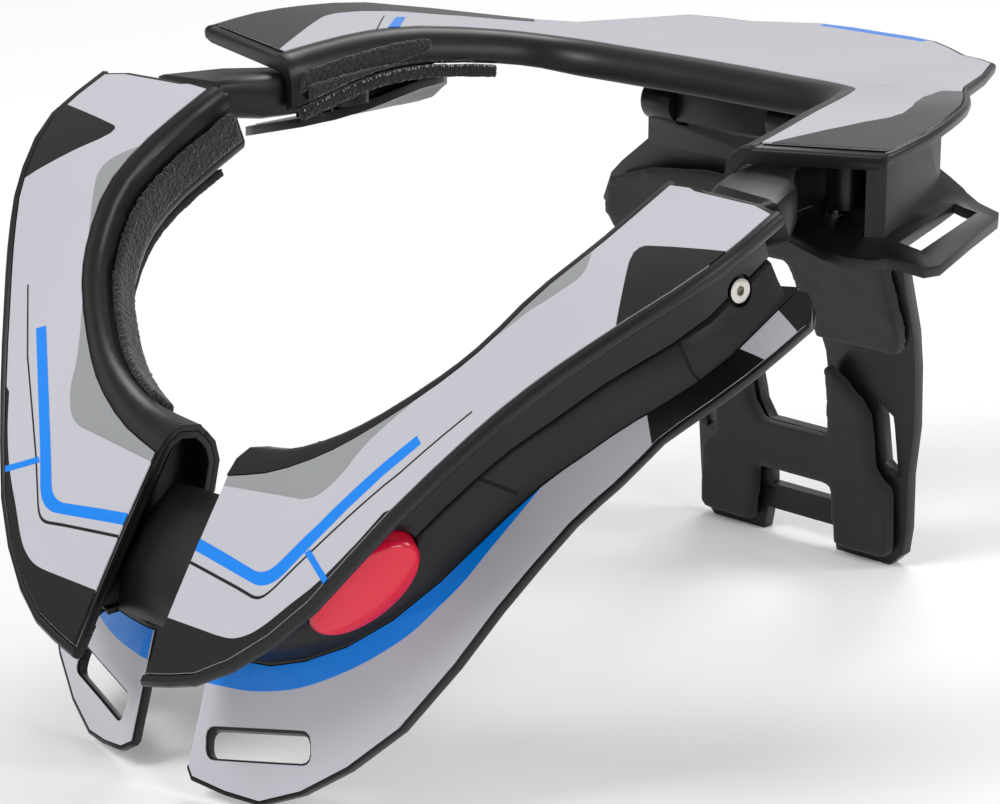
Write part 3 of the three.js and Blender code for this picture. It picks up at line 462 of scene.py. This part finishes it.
def prism(outline: Sequence[Point], aim: Vector, reach: float) -> bmesh.types.BMesh:
    """Makes a prism along a direction.

    Args:
        outline: Corners in millimetres, in plan or in space. They are laid flat
            across the direction, at their middle.
        aim: Direction of the prism, of length one.
        reach: How far it goes either way, in metres.

    Returns:
        A closed bmesh.
    """
    corners = [Vector([mm(c) for c in (*point, 0.0)[:3]]) for point in outline]
    middle = sum(corners, Vector()) / len(corners)
    flat = [c - aim * (c - middle).dot(aim) for c in corners]
    form = bmesh.new()
    face = form.faces.new([form.verts.new(c - aim * reach) for c in flat])
    grown = bmesh.ops.extrude_face_region(form, geom=[face])
    ends = [v for v in grown["geom"] if isinstance(v, bmesh.types.BMVert)]
    bmesh.ops.translate(form, verts=ends, vec=aim * reach * 2)
    bmesh.ops.recalc_face_normals(form, faces=form.faces)
    return form


def temporary(name: str, form: bmesh.types.BMesh) -> bpy.types.Object:
    """Makes an object to run modifiers on, without the CAD's flat corner normals.

    Args:
        name: Name of the object.
        form: Its mesh, which is freed.

    Returns:
        The object.
    """
    mesh = bpy.data.meshes.new(name)
    form.to_mesh(mesh)
    form.free()
    if CORNER_NORMALS in mesh.attributes:
        mesh.attributes.remove(mesh.attributes[CORNER_NORMALS])
    thing = bpy.data.objects.new(name, mesh)
    bpy.context.scene.collection.objects.link(thing)
    return thing


def take_result(body: bpy.types.Object, *helpers: bpy.types.Object) -> bmesh.types.BMesh:
    """Evaluates a temporary object and removes it.

    Args:
        body: Object with the modifiers.
        helpers: Other temporary objects to remove with it.

    Returns:
        The evaluated mesh.
    """
    bpy.context.view_layer.update()
    seen = body.evaluated_get(bpy.context.evaluated_depsgraph_get())
    result = bmesh.new()
    result.from_mesh(seen.to_mesh())
    seen.to_mesh_clear()
    for thing in (body, *helpers):
        data = thing.data
        bpy.data.objects.remove(thing)
        bpy.data.meshes.remove(data)
    return result


def common_part(first: bmesh.types.BMesh, second: bmesh.types.BMesh) -> bmesh.types.BMesh:
    """Finds the solid that two closed bmeshes share.

    Args:
        first: One solid, which is freed.
        second: The other, which is freed.

    Returns:
        Their common part.
    """
    body = temporary("common_body", first)
    tool = temporary("common_tool", second)
    cut = body.modifiers.new("cut", "BOOLEAN")
    cut.operation = "INTERSECT"
    cut.solver = "EXACT"
    cut.object = tool
    return take_result(body, tool)


def curve(points: Sequence[Point], steps: int = 5) -> list[Point]:
    """Rounds a run of points off with a Catmull-Rom curve.

    Args:
        points: Points that the curve goes through.
        steps: How many points it gets for each one given.

    Returns:
        The finer run of points.
    """
    run = np.array([points[0], *points, points[-1]], dtype=float)
    fine = []
    for p0, p1, p2, p3 in zip(run, run[1:], run[2:], run[3:]):
        for t in np.arange(steps) / steps:
            fine.append(0.5 * (2 * p1 + (p2 - p0) * t + (2 * p0 - 5 * p1 + 4 * p2 - p3) * t ** 2
                               + (3 * p1 - p0 - 3 * p2 + p3) * t ** 3))
    return [tuple(float(c) for c in point) for point in [*fine, run[-1]]]


def stroke(route: Sequence[Point], width: float, aim: Point = (0, 0, 1)) -> list[Point]:
    """Outlines a line of even width.

    Args:
        route: Points along its middle, in millimetres, in plan or in space.
        width: Width in millimetres.
        aim: Direction in which the line is looked at.

    Returns:
        The outline, down one side and back up the other.
    """
    points = [Vector((*p, 0.0)[:3]) for p in route]
    left, right = [], []
    for i, point in enumerate(points):
        run = points[min(i + 1, len(points) - 1)] - points[max(i - 1, 0)]
        aside = Vector(aim).cross(run).normalized() * width / 2
        left.append(tuple(point + aside))
        right.append(tuple(point - aside))
    return left + right[::-1]


def widened(edge: Sequence[Point], shift: Point) -> list[Point]:
    """Outlines the field between an edge and a moved copy of it.

    Args:
        edge: Points along the edge, in millimetres.
        shift: How far the copy is moved, in millimetres.

    Returns:
        The outline, along the edge and back along the copy.
    """
    return list(edge) + [tuple(np.add(p, shift)) for p in reversed(edge)]


@dataclass(frozen=True)
class Graphic:
    """One printed colour field on a plate's film, or a painted shade line along a groove on a wall.

    Its outline is in millimetres on the wearer's left, in plan or in space, and
    may run past the film, whose own edge then bounds it.
    """

    name: str
    film: str
    finish: str
    outline: Sequence[Point]
    rise: float = 0.08
    sides: tuple[Side, ...] = (Side.LEFT, Side.RIGHT)
    aim: Point = (0.0, 0.0, 1.0)
    reach: float = 400.0


# Direction from the brace to the camera. The outlines below it are places picked in the
# photograph and cast from that camera onto the CAD surfaces, in millimetres.
FROM_CHEST_LEFT = (0.6635, -0.6891, 0.2915)
BLUE_BAND = [
    (10, -165.4), (43, -169.1), *curve([(45.8, -169.4), (48.5, -169.3), (51.0, -168.8),
                                        (53.2, -167.7), (56.0, -165.5)]),
    (58.9, -163.1), (86.6, -141.4), (89.9, -143.0), (64.3, -163.2), (61.0, -166.0),
    *curve([(58.4, -168.3), (55.8, -170.0), (52.6, -171.1), (49, -171.5), (45.5, -171.3)]),
    (17.6, -168.4), (10, -167.6),
]
THIN_LINE = [
    (10, -169.8), (42, -172.8), *curve([(46, -173.2), (49.5, -173.5), (52.4, -173.2),
                                        (55.0, -172.0), (58.0, -169.8)]),
    (65.3, -164.2), (87.3, -149.0), (103.3, -135.3),
]
GREY_SWEEP = curve([
    (10, -156.3), (30, -156.2), (47, -156.0), (52.7, -155.9), (57.4, -154.9), (61.2, -152.7),
    (64.3, -149.5), (68.8, -142.5), (84, -126.5), (103, -106.4), (108.2, -99.3), (108.7, -93.2),
    (104.4, -85.5),
]) + [(60, -60), (10, -100)]
FRONT_PANEL = curve([
    (10, -180.0), (32.7, -180.6), (41.2, -180.8), (47.3, -180.6), (52.7, -179.5), (57.5, -177.6),
    (65, -173.4), (74.1, -168.3), (81.4, -162.9), (88, -156.6),
]) + [(110, -150), (90, -215), (10, -215)]
REAR_PANEL = [
    (121.6, -88.3), (119.9, -84.4), (120.2, -82.2), (121.6, -81.1), (124.7, -80.8), (180, -76.3),
    (180, -131), (150, -131),
]
SWOOSH_EDGE = [
    (12, -163.6, 35.2), (21.5, -162.4, 35.8), (30.1, -160.6, 36.3), (38.5, -158.6, 37.8),
    (47.8, -155.4, 40.4), (57.0, -151.1, 44.8), (65.5, -146.3, 50.1), (72.0, -141.7, 55.2),
    (78.2, -136.0, 61.4), (83.1, -129.9, 68.8), (87.9, -123.7, 76.6), (91.7, -117.8, 85.0),
    (96.2, -112.5, 93.6), (100.6, -107.2, 102.2), (105.0, -102.0, 110.8),
]
SWOOSH = widened(curve(SWOOSH_EDGE), (-13.0, -6.8, 13.5))
LOWER_PANEL = [
    (110.7, -76), (147, -96.8), (165, -90), (165, -55), (146.5, -60.4), (141.5, -62), (131, -65),
]
LOWER_END = [(130, -43.9), (165, -47), (165, -20), (130, -20)]
WING_PANEL = [
    (105, -20), (112.5, -12.2), (126.6, 18.5), (129.5, 25.5), (129.6, 31.5), (125.5, 41.5),
    (111.5, 65.7), (97.5, 93.7), (94.5, 100.5), (124, 129), (190, 129), (190, -25),
]

BRANCH = stroke([(63.4, -164.4, 91.1), (70.5, -166.9, 88.1), (80.0, -170.3, 84.3)], 2.0,
                FROM_CHEST_LEFT)
# Middle lines of the painted shade strokes laid in the wall's grooves.
GROOVE_AT_BUTTON = stroke([
    (86.5, -123.2, 113.5), (90.5, -119.8, 109.4), (94.7, -114.7, 106.4), (98.0, -110.5, 103.9)],
    1.1, FROM_CHEST_LEFT)
GROOVE_AT_SCREW = stroke([
    (133.2, -85.0, 164.5), (133.0, -79.7, 152.7), (136.4, -76.4, 142.5), (139.3, -73.8, 138.0)],
    1.1, FROM_CHEST_LEFT)
WING_PATCH = [
    (99.2, -16.6, 184.7), (99.9, -15.7, 191.2), (97.5, 4.4, 194.5), (93.2, 25.5, 197.3),
    (89.7, 37.5, 197.9), (88.0, 39.6, 196.8), (87.2, 38.3, 193.8), (91.7, 24.0, 189.7),
    (96.5, 3.3, 186.9), (99.1, -14.3, 184.0),
]

GRAPHICS = [
    Graphic("blue_band", "top_decal", "blue", BLUE_BAND, 0.14),
    Graphic("band_branch", "top_decal", "blue", BRANCH, 0.17, aim=FROM_CHEST_LEFT, reach=12.0),
    Graphic("pin_line", "top_decal", "black", stroke(THIN_LINE, 0.5), 0.1),
    Graphic("grey_sweep", "top_decal", "grey", GREY_SWEEP),
    Graphic("front_panel", "top_decal", "black", FRONT_PANEL),
    Graphic("rear_panel", "top_decal", "black", REAR_PANEL),
    Graphic("swoosh", "lower_decal", "blue", SWOOSH, aim=FROM_CHEST_LEFT, reach=60.0),
    Graphic("button_groove", "lower_shell", "seam", GROOVE_AT_BUTTON, 0.12,
            aim=FROM_CHEST_LEFT, reach=4.0),
    Graphic("screw_groove", "lower_shell", "seam", GROOVE_AT_SCREW, 0.12,
            aim=FROM_CHEST_LEFT, reach=8.0),
    Graphic("lower_panel", "lower_decal", "black", LOWER_PANEL),
    Graphic("lower_end", "lower_decal", "black", LOWER_END, 0.1),
]
TABLE_GRAPHICS = [
    Graphic("wing_panel", "table_decal", "slate", WING_PANEL),
    Graphic("wing_bar", "table_decal", "blue", [
        (98, 33.0), (99.6, 28.5), (111.5, 44.5), (109.6, 47.5)], 0.1, (Side.RIGHT,)),
    Graphic("wing_line", "table_decal", "black", stroke([
        (101, 24.5), (115.5, 42.3)], 0.5), 0.1, (Side.RIGHT,)),
    Graphic("rear_bar", "table_decal", "blue", [
        (-24, 183.4), (24, 183.4), (24, 192), (-24, 192)], 0.1, (Side.LEFT,)),
]


def print_graphic(graphic: Graphic, side: Side, node: str, body: str,
                  finishes: Finishes) -> bpy.types.Object:
    """Cuts one colour field out of a plate's film and lays it on top.

    Args:
        graphic: What to print.
        side: The wearer's side.
        node: CAD node of the film.
        body: CAD body that the film moves with.
        finishes: The materials.

    Returns:
        The printed piece.
    """
    outline = [(p[0] * side.value, *p[1:]) for p in graphic.outline]
    aim = Vector(graphic.aim) * Vector((side.value, 1, 1))
    aim.normalize()
    tool = prism(outline, aim, mm(graphic.reach))
    form = common_part(welded_copy(node), tool)
    bmesh.ops.translate(form, verts=form.verts, vec=aim * mm(graphic.rise))
    name = f"{side.prefix}{graphic.name}"
    return new_piece(name, form, getattr(finishes, graphic.finish), body)


def soften(form: bmesh.types.BMesh, voxel: float, rounds: int) -> bmesh.types.BMesh:
    """Turns a hard solid into an evenly meshed soft one.

    Args:
        form: A closed bmesh, which is freed.
        voxel: Voxel size in metres.
        rounds: How many times it is smoothed.

    Returns:
        The new bmesh.
    """
    body = temporary("soft_body", form)
    grid = body.modifiers.new("grid", "REMESH")
    grid.mode = "VOXEL"
    grid.voxel_size = voxel
    calm = body.modifiers.new("calm", "SMOOTH")
    calm.iterations = rounds
    calm.factor = 0.5
    return take_result(body)


def roughen(form: bmesh.types.BMesh, depth: float, size: float) -> None:
    """Moves vertices along their normals by noise.

    Args:
        form: The mesh to change.
        depth: Largest move in metres.
        size: Size of the noise's features in metres.
    """
    form.normal_update()
    moves = [v.normal * noise.noise(v.co / size) * depth for v in form.verts]
    for vertex, move in zip(form.verts, moves):
        vertex.co += move


@cache
def smooth_shading() -> bpy.types.NodeTree:
    """Makes the node group that shades a CAD node smooth.

    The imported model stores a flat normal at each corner. The group leaves these
    out of the result, so the CAD mesh itself stays as it was loaded.

    Returns:
        A geometry node group, made once.
    """
    tree = bpy.data.node_groups.new("smooth_shading", "GeometryNodeTree")
    for way in ("INPUT", "OUTPUT"):
        tree.interface.new_socket("Geometry", in_out=way, socket_type="NodeSocketGeometry")
    start = add_node(tree, "NodeGroupInput")
    plain = add_node(tree, "GeometryNodeRemoveAttribute", inputs={
        "Geometry": start.outputs[0], "Name": CORNER_NORMALS})
    smooth = add_node(tree, "GeometryNodeSetShadeSmooth", inputs={0: plain.outputs[0]})
    add_node(tree, "NodeGroupOutput", inputs={0: smooth.outputs[0]})
    return tree


def smooth_cad(node: str, material: bpy.types.Material, bevel: float = 0.0,
               sharp: float = 38.0) -> None:
    """Keeps a CAD node, shades it smooth and gives it its material.

    Args:
        node: Name of the node.
        material: Its material.
        bevel: Width of its softened edges in metres, or 0 for none.
        sharp: Angle in degrees over which an edge stays sharp.
    """
    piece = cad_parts[node]
    shading = piece.modifiers.new("shading", "NODES")
    shading.node_group = smooth_shading()
    weld = piece.modifiers.new("weld", "WELD")
    weld.merge_threshold = WELD_GAP
    if bevel:
        edge = piece.modifiers.new("edge", "BEVEL")
        edge.width = bevel
        edge.segments = 2
        edge.limit_method = "ANGLE"
        edge.angle_limit = math.radians(sharp)
        edge.harden_normals = False
    split = piece.modifiers.new("split", "EDGE_SPLIT")
    split.split_angle = math.radians(sharp)
    dress(piece, material)
    LOG.info("%s: kept, %s", node, material.name)


@dataclass
class FrontArm:
    """One front arm: shells, film, loop strip and hardware."""

    side: Side
    finishes: Finishes
    pile_depth: float = mm(0.35)
    foam_depth: float = mm(0.12)
    foam_size: float = mm(2.5)
    strip_voxel: float = mm(0.9)

    def node(self, name: str) -> str:
        """Names a node on this side.

        Args:
            name: The node's name without its side.

        Returns:
            The full name.
        """
        return self.side.prefix + name

    def shells(self) -> None:
        """Dresses the moulded shells and the connector."""
        for name in ("upper_shell", "lower_shell", "connector"):
            smooth_cad(self.node(name), self.finishes.shell, SHELL_EDGE)

    def film(self) -> None:
        """Dresses the printed film and lays the graphics on it."""
        for name in ("top_decal", "lower_decal"):
            smooth_cad(self.node(name), self.finishes.pale)
        for graphic in GRAPHICS:
            print_graphic(graphic, self.side, self.node(graphic.film), self.side.arm, self.finishes)

    def neck_strip(self) -> None:
        """Replaces the neck side's strip by one of loop pile."""
        node = self.node("neck_loop")
        form = soften(welded_copy(node), self.strip_voxel, 2)
        roughen(form, self.pile_depth, PILE_SIZE)
        strip = new_piece(self.node("neck_pile"), form, self.finishes.loop, self.side.arm,
                          ALL_SMOOTH)
        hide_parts(node)

    def body_strip(self) -> None:
        """Replaces the strip under the box by a soft edge of foam."""
        node = self.node("body_pad")
        form = soften(welded_copy(node), self.strip_voxel, 3)
        roughen(form, self.foam_depth, self.foam_size)
        strip = new_piece(self.node("body_edge"), form, self.finishes.foam, self.side.arm,
                          ALL_SMOOTH)
        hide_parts(node)

    def screw(self) -> None:
        """Dresses the clamp screw."""
        smooth_cad(self.node("clamp_screw"), self.finishes.steel, SCREW_EDGE)

    def build(self) -> None:
        """Builds the arm."""
        self.shells()
        self.film()
        self.neck_strip()
        self.body_strip()
        self.screw()


@dataclass
class Latch:
    """Tongue, frame and release button at the chest."""

    finishes: Finishes
    flat_degrees: float = 0.5
    join_degrees: float = 60.0
    button_edge: float = mm(0.5)

    def build(self) -> None:
        """Dresses the latch and rounds off its button."""
        smooth_cad("latch_tongue", self.finishes.shell, TONGUE_EDGE)
        smooth_cad("latch_frame", self.finishes.shell, SHELL_EDGE)
        form = welded_copy("release_button")
        bmesh.ops.dissolve_limit(form, angle_limit=math.radians(self.flat_degrees),
                                 verts=form.verts, edges=form.edges)
        join = math.radians(self.join_degrees)
        bmesh.ops.join_triangles(form, faces=form.faces, angle_face_threshold=join,
                                 angle_shape_threshold=join)
        button = new_piece("push_button", form, self.finishes.button, "button",
                           self.join_degrees)
        rounding = button.modifiers.new("rounding", "BEVEL")
        rounding.width = self.button_edge
        rounding.segments = 2
        finer = button.modifiers.new("finer", "SUBSURF")
        finer.levels = finer.render_levels = 2
        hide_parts("release_button")


@dataclass
class RearTable:
    """Table behind the neck, its film, housings and strips."""

    finishes: Finishes
    strip_voxel: float = mm(0.8)
    strip_depth: float = mm(0.3)
    patch_reach: float = mm(14)
    patch_rise: float = mm(0.9)
    patch_depth: float = mm(0.35)
    hook_seed: int = 5
    hook_gap: float = mm(1.1)
    hook_share: float = 0.7
    hook_lean: float = 0.6
    hook_rise: float = mm(0.3)
    hook_radius: float = mm(0.42)
    hook_shape: tuple[float, float, float] = (0.7, 0.6, 1.5)
    side_facing: float = 0.5

    def build(self) -> None:
        """Dresses the table and what it carries."""
        smooth_cad("rear_table", self.finishes.table_shell, SHELL_EDGE)
        smooth_cad("table_decal", self.finishes.pale)
        for side in Side:
            smooth_cad(side.prefix + "housing", self.finishes.shell, THICK_EDGE)
            smooth_cad(side.prefix + "hinge_pin", self.finishes.steel, SCREW_EDGE)
            self.soft_strip(side, "table_loop", "table_pile", self.finishes.loop)
            self.soft_strip(side, "pad_strip", "wing_edge", self.finishes.loop)
            self.wing_patch(side)
        for graphic in TABLE_GRAPHICS:
            for side in graphic.sides:
                print_graphic(graphic, side, graphic.film, "root", self.finishes)

    def hook_row(self, side: Side, strip: bmesh.types.BMesh) -> None:
        """Sets a row of nylon hooks along a wing strip's upper edge.

        Args:
            side: The wearer's side.
            strip: Mesh of the strip, in metres.
        """
        strip.normal_update()
        chance = random.Random(self.hook_seed)
        highest: dict[int, bmesh.types.BMVert] = {}
        for vertex in strip.verts:
            if vertex.normal.x * side.value < -self.side_facing:
                place = int(vertex.co.y / self.hook_gap)
                if place not in highest or highest[place].co.z < vertex.co.z:
                    highest[place] = vertex
        form = bmesh.new()
        for vertex in highest.values():
            if chance.random() < self.hook_share:
                lean = Matrix.Rotation(chance.uniform(-self.hook_lean, self.hook_lean), 4, "X")
                shape = Matrix.Translation(vertex.co + vertex.normal * self.hook_rise) @ lean
                bmesh.ops.create_icosphere(form, subdivisions=1, radius=self.hook_radius,
                                           matrix=shape @ Matrix.Diagonal((*self.hook_shape, 1)))
        new_piece(side.prefix + "hook_row", form, self.finishes.hook, "root",
                  ALL_SMOOTH)

    def wing_patch(self, side: Side) -> None:
        """Lays the loop patch on a wing's inner skirt.

        Args:
            side: The wearer's side.
        """
        outline = [(x * side.value, y, z) for x, y, z in WING_PATCH]
        aim = Vector((-FROM_CHEST_LEFT[0] * side.value, FROM_CHEST_LEFT[1], FROM_CHEST_LEFT[2]))
        aim.normalize()
        form = common_part(welded_copy("rear_table"), prism(outline, aim, self.patch_reach))
        form = soften(form, self.strip_voxel, 1)
        bmesh.ops.translate(form, verts=form.verts, vec=aim * self.patch_rise)
        roughen(form, self.patch_depth, PILE_SIZE)
        new_piece(side.prefix + "wing_patch", form, self.finishes.loop, "root",
                  ALL_SMOOTH)

    def soft_strip(self, side: Side, node: str, name: str, material: bpy.types.Material) -> None:
        """Replaces one strip under a wing.

        Args:
            side: The wearer's side.
            node: The strip's node without its side.
            name: Name of the new piece without its side.
            material: Its material.
        """
        form = soften(welded_copy(side.prefix + node), self.strip_voxel, 2)
        if node == "pad_strip":
            self.hook_row(side, form)
        roughen(form, self.strip_depth, PILE_SIZE)
        strip = new_piece(side.prefix + name, form, material, "root", ALL_SMOOTH)
        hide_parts(side.prefix + node)


@dataclass
class BackStrut:
    """Hinged strut behind the back, with its two foam pads."""

    finishes: Finishes
    pad_voxel: float = mm(1.6)
    pad_rounds: int = 6
    pad_depth: float = mm(0.25)
    pad_size: float = mm(9)

    def pad(self, node: str, name: str) -> None:
        """Replaces a pad's plain solid by moulded foam.

        Args:
            node: CAD node of the pad.
            name: Name of the new piece.
        """
        form = soften(welded_copy(node), self.pad_voxel, self.pad_rounds)
        roughen(form, self.pad_depth, self.pad_size)
        pad = new_piece(name, form, self.finishes.foam, "strut", ALL_SMOOTH)
        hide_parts(node)

    def build(self) -> None:
        """Builds the strut."""
        smooth_cad("strut_bracket", self.finishes.shell, THICK_EDGE)
        smooth_cad("strut_pin", self.finishes.steel)
        smooth_cad("strut_plate", self.finishes.shell, PLATE_EDGE)
        self.pad("strut_upper_pad", "upper_back_pad")
        self.pad("strut_lower_pad", "lower_back_pad")


@dataclass(frozen=True)
class Lamp:
    """One square soft lamp: where it stands, its side in metres and its power in watts."""

    name: str
    place: tuple[float, float, float]
    size: float
    power: float


LAMPS = [
    Lamp("key", (-0.5, -1.6, 1.7), 0.9, 24.0),
    Lamp("fill", (1.9, -0.2, 1.1), 0.8, 10.0),
    Lamp("rim", (1.5, 1.4, 1.5), 0.7, 13.0),
    Lamp("backdrop", (-1.3, 2.4, 3.0), 1.5, 45.0),
]


@dataclass(frozen=True)
class Studio:
    """Camera, floor and lights."""

    camera_mm: tuple[float, float, float] = (723.3, -767.5, 409.0)
    azimuth: float = 43.918
    elevation: float = 16.945
    lens: float = 115.2
    sensor: float = 36.0
    floor_size: float = 12.0
    floor_gap: float = mm(0.2)
    lit_place: tuple[float, float, float] = (0.0, 0.0, 0.12)
    sky: str = "#fcfcfc"
    sky_strength: float = 0.5

    def camera(self) -> None:
        """Sets the camera at the photograph's angle."""
        data = bpy.data.cameras.new("camera")
        data.sensor_width = self.sensor
        data.lens = self.lens
        camera = bpy.data.objects.new("camera", data)
        camera.location = [mm(c) for c in self.camera_mm]
        camera.rotation_euler = (math.radians(90 - self.elevation), 0, math.radians(self.azimuth))
        bpy.context.scene.collection.objects.link(camera)
        bpy.context.scene.camera = camera

    def floor(self) -> None:
        """Lays a pale floor under the brace."""
        form = bmesh.new()
        bmesh.ops.create_grid(form, x_segments=1, y_segments=1, size=self.floor_size / 2)
        mesh = bpy.data.meshes.new("floor")
        form.to_mesh(mesh)
        form.free()
        floor = bpy.data.objects.new("floor", mesh)
        floor.location.z = -self.floor_gap
        bpy.context.scene.collection.objects.link(floor)
        dress(floor, PaperFloor().build())

    def light(self, lamp: Lamp) -> None:
        """Adds a lamp that faces the brace.

        Args:
            lamp: The lamp to add.
        """
        data = bpy.data.lights.new(lamp.name, "AREA")
        data.size = lamp.size
        data.energy = lamp.power
        thing = bpy.data.objects.new(lamp.name, data)
        thing.location = lamp.place
        aim = Vector(self.lit_place) - Vector(lamp.place)
        thing.rotation_euler = aim.to_track_quat("-Z", "Y").to_euler()
        bpy.context.scene.collection.objects.link(thing)

    def air(self) -> None:
        """Sets the even light from all round."""
        world = bpy.data.worlds.new("studio")
        world.use_nodes = True
        background = world.node_tree.nodes["Background"]
        background.inputs["Color"].default_value = linear(self.sky)
        background.inputs["Strength"].default_value = self.sky_strength
        bpy.context.scene.world = world

    def build(self) -> None:
        """Builds the studio."""
        self.camera()
        self.floor()
        for lamp in LAMPS:
            self.light(lamp)
        self.air()
        bpy.context.scene.view_settings.view_transform = "Standard"


def main() -> None:
    """Builds every sub-assembly in order."""
    logging.basicConfig(level=logging.INFO, format="%(message)s")
    Studio().build()
    finishes = Finishes()
    for side in Side:
        FrontArm(side, finishes).build()
    Latch(finishes).build()
    RearTable(finishes).build()
    BackStrut(finishes).build()


if __name__ == "__main__":
    main()
